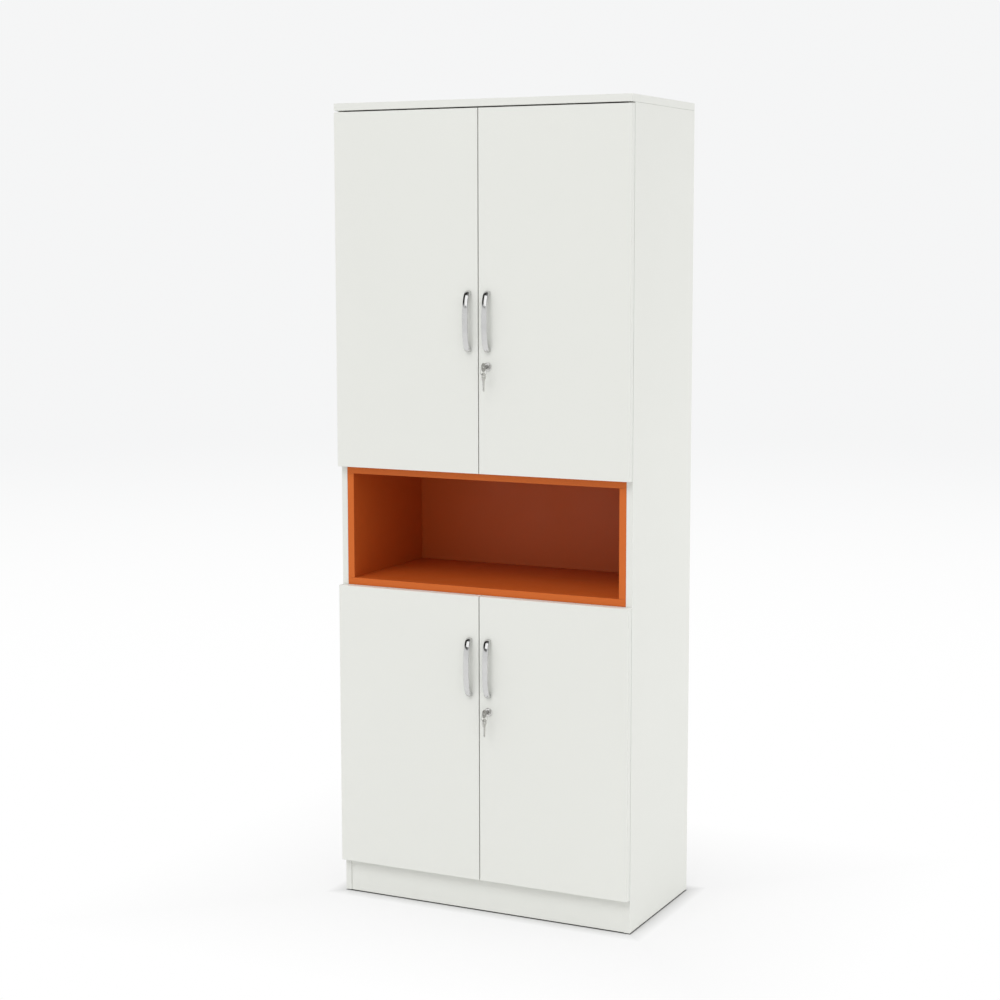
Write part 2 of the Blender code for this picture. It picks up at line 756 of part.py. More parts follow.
def spare_key_mesh():
    """A wire ring hung through the first key's bow, with the spare key on it; origin on the bow's web."""
    web, _ = bow_web()
    clear = math.hypot(KEY_THICKNESS / 2, web / 2) + RING_SLACK
    ring_middle = clear - RING_INNER_RADIUS
    major = RING_INNER_RADIUS + RING_WIRE
    wire = bpy.data.curves.new("ring", "CURVE")
    wire.dimensions = "3D"
    wire.bevel_depth = RING_WIRE
    wire.bevel_resolution = 1
    spline = wire.splines.new("POLY")
    spline.points.add(RING_SIDES - 1)
    spline.use_cyclic_u = True
    for i, point in enumerate(spline.points):
        angle = 2 * math.pi * i / RING_SIDES
        point.co = (major * math.cos(angle), 0, ring_middle + major * math.sin(angle), 1)
    loop = bpy.data.objects.new("ring", wire)
    CUTTERS.objects.link(loop)
    ring = evaluated_mesh(loop, weld=True)
    spare = flat_key_mesh("spare")
    # Blade straight down, flat sides facing left and right, hung on the ring's lowest point
    bow_height = ring_middle - major - KEY_HOLE_RADIUS + RING_WIRE / 2
    spare.transform(Matrix(((0, 0, 1, 0), (0, 1, 0, 0), (-1, 0, 0, bow_height), (0, 0, 0, 1))))
    return joined_mesh(spare, added=[ring], name="spare_key")


# Slide bolts
def bolt_guide_mesh():
    """A plate on the leaf with two bored lugs."""
    plate = block_mesh(
        (-BOLT_PLATE_HALF_WIDTH, FIT, -BOLT_GUIDE_HALF),
        (BOLT_PLATE_HALF_WIDTH, FIT + BOLT_PLATE, BOLT_GUIDE_HALF),
        "bolt_plate",
    )
    reach = BOLT_RADIUS + BOLT_PLAY + BOLT_LUG_WALL
    lugs = []
    for end in (-1, 1):
        middle = end * BOLT_LUG_SPACING / 2
        lugs.append(
            block_mesh(
                (-reach, FIT + BOLT_PLATE / 2, middle - BOLT_LUG / 2),
                (reach, BOLT_AXIS_OFF + reach, middle + BOLT_LUG / 2),
                "lug",
            )
        )
    bore_ends = (0, BOLT_AXIS_OFF, -2 * BOLT_GUIDE_HALF), (0, BOLT_AXIS_OFF, 2 * BOLT_GUIDE_HALF)
    bore = rod_mesh(BOLT_RADIUS + BOLT_PLAY, *bore_ends, ROD_SIDES, "bore")
    return joined_mesh(plate, added=lugs, removed=[bore], name="bolt_guide")


def bolt_rod_mesh(way):
    """The rod with its thumb stud, drawn back from the panel; its nose points along way."""
    nose = BOLT_GUIDE_HALF + BOLT_GUIDE_GAP - BOLT_TIP_GAP
    tail = -BOLT_GUIDE_HALF - BOLT_TRAVEL
    rod_ends = (0, BOLT_AXIS_OFF, way * tail), (0, BOLT_AXIS_OFF, way * nose)
    rod = rod_mesh(BOLT_RADIUS, *rod_ends, ROD_SIDES, "bolt_rod")
    z = -way * BOLT_TRAVEL / 2
    stud_end = BOLT_AXIS_OFF + BOLT_RADIUS + BOLT_KNOB_REACH
    knob = rod_mesh(BOLT_KNOB_RADIUS, (0, BOLT_AXIS_OFF, z), (0, stud_end, z), ROD_SIDES, "knob")
    return joined_mesh(rod, added=[knob], name="bolt_rod")


# Doors with what they carry
def meeting_x(hand, inset):
    """X of a point on a leaf, this far from its meeting edge."""
    return -hand * (LEAF_GAP / 2 + inset)


def build_door(tier, side, carcass, shared):
    hand = HANDS[side]
    foot, head = DOOR_SPANS[tier]
    tag = f"{tier}_{side}"
    outer_x = -hand * HALF
    middle_z = (foot + head) / 2

    def pivot(uv):
        return outer_x + hand * uv[0], DOOR_BACK + uv[1], middle_z

    links = body("links_" + tag, pivot(ARM_PIVOT), carcass)
    leaf = body("leaf_" + tag, pivot(CUP_PIVOT), links)
    ends = sorted((outer_x, -hand * LEAF_GAP / 2))
    door = board("door_" + tag, (ends[0], DOOR_FRONT, foot), (ends[1], DOOR_BACK, head), WHITE_BOARD, leaf)

    for level, z in (("bottom", foot + HINGE_END_DISTANCE), ("top", head - HINGE_END_DISTANCE)):
        place = (outer_x, DOOR_BACK, z)
        node(f"hinge_arm_{tag}_{level}", shared["arm", hand], HINGE_STEEL, place, carcass)
        node(f"hinge_link_{tag}_{level}", shared["link", hand], HINGE_STEEL, place, links)
        node(f"hinge_cup_{tag}_{level}", shared["cup", hand], HINGE_STEEL, place, leaf)
        x = outer_x + hand * CUP_CENTRE_U
        cut = (x, DOOR_BACK - CUP_DEPTH - FIT, z), (x, DOOR_BACK + DOOR_STANDOFF, z)
        work_with(door, "DIFFERENCE", rod_mesh(CUP_RADIUS + 2 * FIT, *cut, CUP_SIDES, "cup_bore"))

    handle_x = meeting_x(hand, HANDLE_INSET)
    handle_z = HANDLE_HEIGHTS[tier]
    node("handle_" + tag, shared["handle"], CHROME, (handle_x, DOOR_FRONT, handle_z), leaf)
    for way in (-1, 1):
        z = handle_z + way * screw_rise()
        through = (handle_x, DOOR_FRONT - DOOR_STANDOFF, z), (handle_x, DOOR_BACK + DOOR_STANDOFF, z)
        hole = rod_mesh(SCREW_RADIUS + SCREW_HOLE_PLAY, *through, PIN_SIDES, "screw_hole")
        work_with(door, "DIFFERENCE", hole)

    if side == "right":
        build_lock(tier, leaf, door, Vector((handle_x, DOOR_FRONT, handle_z - LOCK_DROP)), shared)
    else:
        build_bolt(tier, leaf, shared)


def build_lock(tier, leaf, door, place, shared):
    tail = Vector((0, DOOR_BOARD + DOOR_STANDOFF, 0))
    front = Vector((0, -DOOR_STANDOFF, 0))
    bore = rod_mesh(BARREL_RADIUS + 2 * FIT, place + front, place + tail, LOCK_SIDES, "lock_bore")
    work_with(door, "DIFFERENCE", bore)
    node("lock_body_" + tier, shared["lock_body"], LOCK_METAL, place, leaf)
    rotor = body("rotor_" + tier, place, leaf)
    node("lock_plug_" + tier, shared["lock_plug"], LOCK_METAL, place, rotor)
    node("key_" + tier, shared["key"], KEY_METAL, place, rotor)
    _, drop = bow_web()
    hang = place + Vector((0, -KEY_BOW_OUT, -drop))
    spare = body("spare_" + tier, hang, rotor)
    node("spare_key_" + tier, shared["spare"], KEY_METAL, hang, spare)


def build_bolt(tier, leaf, shared):
    """The upper leaf bolts down into its floor, the lower leaf up into its ceiling."""
    way = -1 if tier == "upper" else 1
    panel_face = FLOOR_HEAD if tier == "upper" else CEILING_FOOT
    height = panel_face - way * (BOLT_GUIDE_GAP + BOLT_GUIDE_HALF)
    place = (meeting_x(HANDS["left"], BOLT_INSET), DOOR_BACK, height)
    node("bolt_guide_" + tier, shared["guide"], HINGE_STEEL, place, leaf)
    slide = body("bolt_" + tier, place, leaf)
    node("bolt_rod_" + tier, shared["rod", way], HINGE_STEEL, place, slide)


def build_shared():
    """Meshes of the pieces that repeat, made once."""
    shared = {
        "handle": handle_mesh(),
        "lock_body": lock_body_mesh(),
        "lock_plug": lock_plug_mesh(),
        "key": key_mesh(),
        "spare": spare_key_mesh(),
        "guide": bolt_guide_mesh(),
    }
    for hand in HANDS.values():
        shared["arm", hand] = arm_mesh(hand)
        shared["link", hand] = link_mesh(hand)
        shared["cup", hand] = cup_mesh(hand)
    for way in (-1, 1):
        shared["rod", way] = bolt_rod_mesh(way)
    return shared


def main():
    carcass = build_carcass()
    shared = build_shared()
    for tier in DOOR_SPANS:
        for side in HANDS:
            build_door(tier, side, carcass, shared)


main()
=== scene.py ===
"""Two-tier file cabinet: coated boards, doors on cup hinges, bow handles, locks, keys and bolts.

Lengths are in metres, the front faces -Y and the floor is at a height of nought.
"""

import math
from contextlib import contextmanager
from functools import cache
from types import SimpleNamespace

import bmesh
import bpy
from bpy.props import FloatProperty, FloatVectorProperty, PointerProperty
from bpy.types import Operator, Panel, PropertyGroup
from mathutils import Matrix, Vector


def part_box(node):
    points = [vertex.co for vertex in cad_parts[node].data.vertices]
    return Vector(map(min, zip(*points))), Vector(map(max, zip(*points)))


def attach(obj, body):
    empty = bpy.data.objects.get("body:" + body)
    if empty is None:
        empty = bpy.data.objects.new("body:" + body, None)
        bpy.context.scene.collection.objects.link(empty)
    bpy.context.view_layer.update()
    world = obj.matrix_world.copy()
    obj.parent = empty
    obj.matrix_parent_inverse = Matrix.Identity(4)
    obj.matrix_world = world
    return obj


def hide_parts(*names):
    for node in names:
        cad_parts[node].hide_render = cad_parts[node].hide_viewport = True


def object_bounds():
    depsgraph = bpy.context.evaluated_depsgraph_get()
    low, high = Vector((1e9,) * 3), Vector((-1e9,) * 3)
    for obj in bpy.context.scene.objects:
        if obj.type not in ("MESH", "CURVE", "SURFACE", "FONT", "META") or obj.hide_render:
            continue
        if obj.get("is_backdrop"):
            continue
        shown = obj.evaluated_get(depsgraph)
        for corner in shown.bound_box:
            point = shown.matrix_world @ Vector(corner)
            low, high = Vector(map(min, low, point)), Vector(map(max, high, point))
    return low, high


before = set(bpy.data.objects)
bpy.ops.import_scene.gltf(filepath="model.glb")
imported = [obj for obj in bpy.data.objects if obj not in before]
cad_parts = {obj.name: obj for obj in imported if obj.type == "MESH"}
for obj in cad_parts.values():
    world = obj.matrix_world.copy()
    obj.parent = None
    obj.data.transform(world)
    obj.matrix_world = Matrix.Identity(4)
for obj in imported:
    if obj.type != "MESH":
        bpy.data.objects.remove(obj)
CAD_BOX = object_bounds()

bl_info = {
    "name": "File cabinet",
    "version": (1, 0, 0),
    "blender": (4, 5, 0),
    "location": "View3D > Sidebar > Cabinet",
    "description": "Builds a two-tier file cabinet on its packed frame",
    "category": "Object",
}

# Names that nodes are made up of, each hand with the way inwards along X
TIERS = ("lower", "upper")
HANDS = {"left": 1, "right": -1}
LEAVES = [f"{tier}_{hand}" for tier in TIERS for hand in HANDS]
LEVELS = ("bottom", "top")
SHELVES = ("shelf_upper_1", "shelf_upper_2", "shelf_lower_1")

# Directions
RIGHT, BACK, UP = (1, 0, 0), (0, 1, 0), (0, 0, 1)

# Places that the frame gives
BOARD_PLAY = 0.0003
INNER_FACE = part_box("bottom_panel")[1].x + BOARD_PLAY
GLIDE_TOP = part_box("plinth_board")[0].z
DOOR_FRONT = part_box("door_upper_left")[0].y
DOOR_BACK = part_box("door_upper_left")[1].y


def centre(node):
    """The middle of a frame node's box."""
    low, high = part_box(node)
    return (low + high) / 2


# What a user would change
def amount(name, description, default, **kind):
    """A number setting."""
    return FloatProperty(name=name, description=description, default=default, **kind)


def length(name, description, default):
    """A length setting in metres."""
    return amount(name, description, default, min=0.0, precision=4, subtype="DISTANCE", unit="LENGTH")


def angle(name, description, default):
    """An angle setting in radians."""
    return amount(name, description, default, subtype="ANGLE", unit="ROTATION")


def triple(name, description, default, **kind):
    """A setting of three numbers."""
    return FloatVectorProperty(name=name, description=description, default=default, size=3, **kind)


def colour(name, description, default):
    """A colour setting, in linear light."""
    return triple(name, description, default, min=0.0, max=1.0, subtype="COLOR")


class CabinetSizes(PropertyGroup):
    """Sizes of the fine forms that the frame doesn't fix"""

    edge_round: length("Edge rounding", "Radius of the boards' edge bands", 0.0004)
    pin_hole: length("Shelf pin hole", "Diameter of a shelf pin's hole", 0.005)
    pin_pitch: length("Hole pitch", "From one shelf pin hole to the next", 0.032)
    handle_crown: length("Handle crown", "Bulge across a handle's strap", 0.0021)
    handle_round: length("Handle rounding", "Radius of the strap's outer edges", 0.0018)


class CabinetColours(PropertyGroup):
    """Colours of the finishes"""

    white: colour("White board", "Coating of the carcass and the doors", (0.798, 0.806, 0.765))
    orange: colour("Orange board", "Coating of the niche", (0.545, 0.108, 0.016))
    orange_edge: colour("Orange edge", "Edge bands of the niche", (0.635, 0.147, 0.029))
    sheet: colour("Back sheet", "Lacquer of the hardboard back", (0.740, 0.745, 0.715))
    chrome: colour("Chrome", "Plating of the handles", (0.660, 0.660, 0.655))
    nickel: colour("Nickel", "Plating of the hinges and bolts", (0.620, 0.610, 0.590))
    lock: colour("Lock", "Plating of the lock bodies", (0.740, 0.735, 0.715))
    # The key in the lock and the spare key share one plating: its colour is darker on the key, painted
    # shade, and lighter on the spare, painted light
    key: colour("Key", "Plating of the keys in the locks", (0.420, 0.415, 0.400))
    spare: colour("Spare key", "Plating of the spare keys and their rings", (0.640, 0.635, 0.615))
    plastic: colour("Glides", "Plastic of the floor glides", (0.160, 0.160, 0.160))
    floor: colour("Floor", "Studio floor", (0.780, 0.780, 0.780))
    ceiling: colour("Ceiling", "Ceiling on the left that metal mirrors", (0.030, 0.030, 0.029))
    wall: colour("Wall", "Wall on the right that metal mirrors", (0.300, 0.300, 0.295))
    far: colour("Backdrop", "Floor and wall far behind", (0.915, 0.918, 0.921))


class StudioSettings(PropertyGroup):
    """The camera and the lamps"""

    camera_place: triple("Camera place", "Where it stands", (2.2407, -4.6269, 1.6869), unit="LENGTH")
    camera_turn: angle("Camera turn", "Turn about the upright", 0.4567)
    camera_dip: angle("Camera dip", "How far it looks down", 0.1272)
    camera_roll: angle("Camera roll", "Turn about its own axis", -0.0013)
    lens: amount("Lens", "Focal length in millimetres", 73.55, unit="CAMERA")
    wall_light: amount("Wall light", "Light along the horizon", 0.62)
    ceiling_light: amount("Ceiling light", "Light overhead", 1.05)
    key_strength: amount("Key light", "High light in front", 0.74)
    sheen_power: amount("Sheen lamp", "Lamp that only shiny faces show", 165.0, unit="POWER")
    top_power: amount("Top lamp", "Lamp overhead", 10.0, unit="POWER")
    side_power: amount("Side lamp", "Lamp on the right", 42.0, unit="POWER")


# Selecting and editing
def deselect():
    bpy.ops.object.select_all(action="DESELECT")


def hold(piece):
    """Makes a piece the only one selected."""
    deselect()
    piece.select_set(True)
    bpy.context.view_layer.objects.active = piece


@contextmanager
def editing(piece, kind, action="DESELECT"):
    """Opens a piece in edit mode."""
    hold(piece)
    bpy.ops.object.mode_set(mode="EDIT")
    bpy.ops.mesh.select_mode(type=kind)
    bpy.ops.mesh.select_all(action=action)
    yield
    bpy.ops.object.mode_set(mode="OBJECT")


def pick(piece, kind, test):
    """Selects those of an open piece's verts, edges or faces that pass a test."""
    work = bmesh.from_edit_mesh(piece.data)
    for item in getattr(work, kind):
        item.select_set(bool(test(item)))
    bmesh.update_edit_mesh(piece.data)


def face_outwards():
    """Turns all faces of the open piece outwards."""
    bpy.ops.mesh.select_all(action="SELECT")
    bpy.ops.mesh.normals_make_consistent(inside=False)


def named(name):
    """Names the active object and its mesh."""
    piece = bpy.context.active_object
    piece.name = name
    piece.data.name = name
    return piece


def settle(name):
    """Moves the new object's place into its mesh, and names it."""
    bpy.ops.object.transform_apply(location=True, rotation=True, scale=True)
    return named(name)


def duplicate(piece):
    """A copy of a piece with a mesh of its own, left active."""
    hold(piece)
    bpy.ops.object.duplicate()
    return bpy.context.active_object


# Basic forms
WELD = 0.00001
ROUND_STEPS = 2
SMOOTH_BELOW = math.radians(40)
FLAT_BELOW = math.radians(2)
ALONG_AXIS = 0.99
OVERCUT = 0.01
METAL_ROUND = 0.0003


def block(name, low, high):
    """A box between two corners, to be shaped further."""
    deselect()
    low, high = Vector(low), Vector(high)
    bpy.ops.mesh.primitive_cube_add(size=1, location=(low + high) / 2, scale=high - low)
    return settle(name)


def rod(name, radius, start, end, sides):
    """A round bar between two points, to be shaped further."""
    deselect()
    start, end = Vector(start), Vector(end)
    along = end - start
    turn = Vector(UP).rotation_difference(along.normalized()).to_euler()
    bpy.ops.mesh.primitive_cylinder_add(
        vertices=sides, radius=radius, depth=along.length, location=(start + end) / 2, rotation=turn
    )
    return settle(name)


def line(name, points, closed=False):
    """A line of edges, drawn point by point by extruding its last vertex."""
    deselect()
    points = [Vector(point) for point in points]
    bpy.ops.mesh.primitive_plane_add(size=0.001, location=points[0])
    piece = settle(name)
    with editing(piece, "VERT", "SELECT"):
        bpy.ops.mesh.merge(type="CENTER")
        for here, there in zip(points, points[1:]):
            bpy.ops.mesh.extrude_vertices_move(TRANSFORM_OT_translate={"value": there - here})
        if closed:
            pick(piece, "verts", lambda vert: len(vert.link_edges) == 1)
            bpy.ops.mesh.edge_face_add()
    return piece


def plate(name, outline, depth):
    """A flat outline, filled and pulled out along a vector."""
    piece = line(name, outline, closed=True)
    with editing(piece, "EDGE", "SELECT"):
        bpy.ops.mesh.edge_face_add()
        bpy.ops.mesh.extrude_region_move(TRANSFORM_OT_translate={"value": depth})
        face_outwards()
    return piece


def turned(name, profile, root, axis, steps):
    """A solid turned about an axis, from an outline of radius and distance along it."""
    root, axis = Vector(root), Vector(axis)
    across = Vector(RIGHT) if abs(axis.z) > 0.5 else Vector(UP)
    piece = line(name, [root + across * radius + axis * along for radius, along in profile], closed=True)
    with editing(piece, "EDGE", "SELECT"):
        bpy.ops.mesh.spin(steps=steps, angle=2 * math.pi, center=root, axis=axis)
        bpy.ops.mesh.select_all(action="SELECT")
        bpy.ops.mesh.remove_doubles(threshold=WELD)
        bpy.ops.mesh.delete_loose(use_verts=True, use_edges=True, use_faces=False)
        face_outwards()
    return piece


def arc(middle, radius, start, end, steps):
    """Points of a circle's arc between two angles in degrees."""
    for step in range(steps + 1):
        turn = math.radians(start + (end - start) * step / steps)
        yield middle[0] + radius * math.cos(turn), middle[1] + radius * math.sin(turn)


# Shaping
def round_edges(piece, radius, sharper_than):
    """Rounds the edges at which a piece turns by more than an angle in degrees."""
    limit = math.radians(sharper_than)
    with editing(piece, "EDGE"):
        pick(piece, "edges", lambda edge: len(edge.link_faces) == 2 and edge.calc_face_angle() > limit)
        bpy.ops.mesh.bevel(offset=radius, segments=ROUND_STEPS, affect="EDGES")


def smooth(piece):
    """Clears slivers and shades smoothly, with flat faces kept flat."""
    with editing(piece, "VERT", "SELECT"):
        bpy.ops.mesh.dissolve_degenerate(threshold=WELD)
    bpy.ops.object.shade_smooth_by_angle(angle=SMOOTH_BELOW)
    even = piece.modifiers.new("even_faces", "WEIGHTED_NORMAL")
    even.keep_sharp = True
    bpy.ops.object.modifier_apply(modifier=even.name)


def joined(name, pieces):
    """Several pieces made into one."""
    deselect()
    for piece in pieces:
        piece.select_set(True)
    bpy.context.view_layer.objects.active = pieces[0]
    if len(pieces) > 1:
        bpy.ops.object.join()
    return named(name)


def cut(piece, cutters):
    """Takes the cutters' shapes out of a piece."""
    cutter = joined("cutter", cutters)
    hold(piece)
    bore = piece.modifiers.new("bore", "BOOLEAN")
    bore.operation = "DIFFERENCE"
    bore.solver = "EXACT"
    bore.use_self = True
    bore.object = cutter
    bpy.ops.object.modifier_apply(modifier=bore.name)
    bpy.data.objects.remove(cutter)


def dress(piece, *materials):
    """Gives a piece its materials, the first one all over."""
    piece.data.materials.clear()
    for material in materials:
        piece.data.materials.append(material)


def polish(piece, material):
    """Smooths a piece and gives it its material."""
    smooth(piece)
    dress(piece, material)


def refined(node, name, material):
    """A copy of a frame node with whole faces and its sharp edges rounded."""
    piece = bpy.data.objects.new(name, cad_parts[node].data.copy())
    bpy.context.scene.collection.objects.link(piece)
    with editing(piece, "VERT", "SELECT"):
        bpy.ops.mesh.customdata_custom_splitnormals_clear()
        bpy.ops.mesh.remove_doubles(threshold=WELD)
        bpy.ops.mesh.dissolve_limited(angle_limit=FLAT_BELOW)
    round_edges(piece, METAL_ROUND, 40)
    dress(piece, material)
    return piece


# Copies
def copy_of(piece, name, shift, flip=False):
    """A copy of a piece, moved and, where asked, mirrored left to right."""
    made = duplicate(piece)
    made.location = shift
    if flip:
        made.scale.x = -1
    made = settle(name)
    if flip:
        with editing(made, "FACE"):
            face_outwards()
    return made


def both_tiers(pieces, shift):
    """The upper tier with its pieces, and then the lower tier with copies of them."""
    yield "upper", pieces
    yield "lower", [copy_of(piece, piece.name.replace("upper", "lower"), shift) for piece in pieces]


@contextmanager
def pattern(piece, material):
    """Finishes a piece that copies are taken of, and takes it away afterwards."""
    polish(piece, material)
    yield piece
    bpy.data.objects.remove(piece)


def scatter(piece, name, facing, places):
    """Copies of an upright piece at places, turned to face a direction and made into one."""
    copies = []
    for place in places:
        item = duplicate(piece)
        item.location = place
        item.rotation_euler = Vector(UP).rotation_difference(Vector(facing)).to_euler()
        copies.append(settle(name))
    return joined(name, copies)


def hang(piece, body, slot, *nodes):
    """Puts a finished piece on its body, in place of the frame's nodes."""
    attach(piece, body)
    if nodes:
        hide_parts(*nodes)


# Node trees
WHITE = (1.0, 1.0, 1.0, 1.0)


def rgba(tint, share=1.0):
    """A colour, dimmed to a share of itself, with its alpha."""
    return (*(share * channel for channel in tint), 1.0)


def feed(tree, node, inputs):
    """Sets a node's inputs, each to a plain value or to another node's output."""
    for name, value in inputs.items():
        if isinstance(value, bpy.types.NodeSocket):
            tree.links.new(value, node.inputs[name])
        else:
            node.inputs[name].default_value = value


def add(tree, kind, inputs=None, **settings):
    """A new node with its settings and inputs."""
    made = tree.nodes.new(kind)
    for name, value in settings.items():
        setattr(made, name, value)
    feed(tree, made, inputs or {})
    return made


def reckon(tree, operation, *values, **settings):
    """What an operation makes of some numbers."""
    inputs = dict(enumerate(values))
    return add(tree, "ShaderNodeMath", inputs, operation=operation, **settings).outputs["Value"]


def reckon_vector(tree, operation, *values):
    """What an operation makes of some vectors."""
    inputs = dict(enumerate(values))
    return add(tree, "ShaderNodeVectorMath", inputs, operation=operation).outputs["Vector"]


def ranged(tree, value, start, end, low=0.0, high=1.0, **settings):
    """A number brought from one range to another."""
    limits = {"Value": value, "From Min": start, "From Max": end, "To Min": low, "To Max": high}
    return add(tree, "ShaderNodeMapRange", limits, **settings).outputs["Result"]


def noise(tree, place, scale, detail):
    """A cloudy pattern of numbers about a half."""
    inputs = {"Vector": place, "Scale": scale, "Detail": detail}
    return add(tree, "ShaderNodeTexNoise", inputs).outputs["Fac"]


def spread(tree, value, low, high):
    """A noise value, spread between two limits."""
    return ranged(tree, value, 0.3, 0.7, low, high)


def shaded(tree, tint, value):
    """A colour made lighter or darker."""
    return add(tree, "ShaderNodeHueSaturation", {"Color": tint, "Value": value}).outputs["Color"]


def blend(tree, share, first, second):
    """A colour between two others."""
    return add(tree, "ShaderNodeMix", {0: share, 6: first, 7: second}, data_type="RGBA").outputs[2]


def mix(tree, share, first, second):
    """A shader between two others."""
    return add(tree, "ShaderNodeMixShader", {0: share, 1: first, 2: second}).outputs["Shader"]


# Finishes
BOARD_RELIEF = 0.0001
METAL_RELIEF = 0.00005
BAND_SHADE = 0.985


def effect(name, *inputs):
    """A shader group that puts out a colour, a roughness and a height, and what goes into it."""
    made = bpy.data.node_groups.new(name, "ShaderNodeTree")
    for direction, labels in (("INPUT", inputs), ("OUTPUT", ("Colour", "Roughness", "Height"))):
        for label in labels:
            kind = "NodeSocketColor" if label == "Colour" else "NodeSocketFloat"
            made.interface.new_socket(label, in_out=direction, socket_type=kind)
    return made, made.nodes.new("NodeGroupInput").outputs


def coated_board_effect():
    """Clouding, sheen changes and the fine pearl of a coated board."""
    tree, given = effect("coated_board", "Colour", "Clouding", "Roughness", "Pearl Scale")
    place = add(tree, "ShaderNodeTexCoord").outputs["Object"]
    clouds = spread(tree, noise(tree, place, 2.3, 3.0), -1.0, 1.0)
    sheen = spread(tree, noise(tree, place, 9.0, 5.0), -0.05, 0.05)
    shade = reckon(tree, "MULTIPLY_ADD", clouds, given["Clouding"], 1.0)
    results = {
        "Colour": shaded(tree, given["Colour"], shade),
        "Roughness": reckon(tree, "ADD", sheen, given["Roughness"]),
        "Height": noise(tree, place, given["Pearl Scale"], 2.0),
    }
    add(tree, "NodeGroupOutput", results)
    return tree


def plated_metal_effect():
    """Fine polishing lines along the upright, and the uneven gloss of plating."""
    tree, given = effect("plated_metal", "Colour", "Roughness", "Unevenness", "Line Scale")
    place = add(tree, "ShaderNodeTexCoord").outputs["Object"]
    drawn = add(tree, "ShaderNodeMapping", {"Vector": place, "Scale": (1.0, 1.0, 0.04)}).outputs["Vector"]
    lines = noise(tree, drawn, given["Line Scale"], 3.0)
    blush = noise(tree, place, 70.0, 4.0)
    uneven = ranged(tree, reckon(tree, "MULTIPLY", lines, blush), 0.12, 0.42, -1.0, 1.0)
    results = {
        "Colour": shaded(tree, given["Colour"], spread(tree, blush, 0.94, 1.0)),
        "Roughness": reckon(tree, "MULTIPLY_ADD", uneven, given["Unevenness"], given["Roughness"]),
        "Height": lines,
    }
    add(tree, "NodeGroupOutput", results)
    return tree


def finish(name, tint, group, values, relief, relief_depth, constants):
    """A material: one shader fed by an effect, with a bump of the effect's height."""
    made = bpy.data.materials.new(name)
    made.use_nodes = True
    tree = made.node_tree
    inputs = {"Colour": rgba(tint), **values}
    source = add(tree, "ShaderNodeGroup", inputs, node_tree=group).outputs
    bump = {"Height": source["Height"], "Strength": relief, "Distance": relief_depth}
    shader = {
        "Base Color": source["Colour"],
        "Roughness": source["Roughness"],
        "Normal": add(tree, "ShaderNodeBump", bump).outputs["Normal"],
        **constants,
    }
    feed(tree, tree.nodes["Principled BSDF"], shader)
    return made


@cache
def finishes():
    """The cabinet's materials, made when they are first asked for."""
    colours = bpy.context.scene.cabinet_colours
    board = coated_board_effect()
    metal = plated_metal_effect()

    def coated(name, tint, roughness, pearl=900.0, clouding=0.006, relief=0.08, shine=0.3):
        values = {"Clouding": clouding, "Roughness": roughness, "Pearl Scale": pearl}
        return finish(name, tint, board, values, relief, BOARD_RELIEF, {"Specular IOR Level": shine})

    def plated(name, tint, roughness, unevenness, lines, relief=0.05):
        values = {"Roughness": roughness, "Unevenness": unevenness, "Line Scale": lines}
        return finish(name, tint, metal, values, relief, METAL_RELIEF, {"Metallic": 1.0})

    band = {"pearl": 2200.0, "relief": 0.04}
    white_edge = [BAND_SHADE * channel for channel in colours.white]
    return SimpleNamespace(
        white=coated("white_coating", colours.white, 0.46),
        white_band=coated("white_edge_band", white_edge, 0.40, **band),
        orange=coated("orange_coating", colours.orange, 0.46),
        orange_band=coated("orange_edge_band", colours.orange_edge, 0.45, shine=0.12, **band),
        sheet=coated("hardboard_lacquer", colours.sheet, 0.62, pearl=420.0, clouding=0.02, relief=0.25),
        chrome=plated("satin_chrome", colours.chrome, 0.12, 0.03, 900.0),
        nickel=plated("nickel_plate", colours.nickel, 0.30, 0.08, 1500.0, relief=0.10),
        lock=plated("lock_plate", colours.lock, 0.20, 0.05, 1500.0),
        plastic=coated("glide_plastic", colours.plastic, 0.55, pearl=1400.0),
        # Painted shade and light: the key's plating is a darker copy and the spare key's a lighter copy of
        # one plating
        key=plated("key_plate", colours.key, 0.30, 0.08, 2600.0, relief=0.12),
        spare=plated("spare_key_plate", colours.spare, 0.30, 0.08, 2600.0, relief=0.12),
    )


# Boards
def board(name, low, high, face, band):
    """A board with rounded edge bands on its narrow sides."""
    piece = block(name, low, high)
    sides = high - low
    thin = min(range(3), key=lambda axis: sides[axis])
    dress(piece, face, band)
    with editing(piece, "EDGE", "SELECT"):
        bpy.ops.mesh.bevel(offset=bpy.context.scene.cabinet_sizes.edge_round, segments=3, affect="EDGES")
    with editing(piece, "FACE"):
        pick(piece, "faces", lambda side: abs(side.normal[thin]) < ALONG_AXIS)
        piece.active_material_index = 1
        bpy.ops.object.material_slot_assign()
    return piece


# Carcass
BOLT_HOLE = 0.0033
BOLTED_PANELS = ("lower_ceiling_panel", "upper_floor_panel")
PANELS = ("top_panel", "bottom_panel", "plinth_board", *BOLTED_PANELS, *SHELVES)
PIN_DEPTH = 0.009
PIN_OVERCUT = 0.002
PIN_DROP = 0.0028
PIN_INSET = 0.055
SPARE_HOLES = (-2, -1, 1, 2)


def bolt_axis():
    """X and Y of the slide bolts."""
    low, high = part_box("bolt_rod_upper")
    return (low.x + high.x) / 2, low.y + (high.x - low.x) / 2


def pin_places(hand):
    """Where the shelf pins leave a side board, just below each shelf."""
    for shelf in SHELVES:
        low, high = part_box(shelf)
        for y in (low.y + PIN_INSET, high.y - PIN_INSET):
            yield -HANDS[hand] * INNER_FACE, y, low.z - PIN_DROP


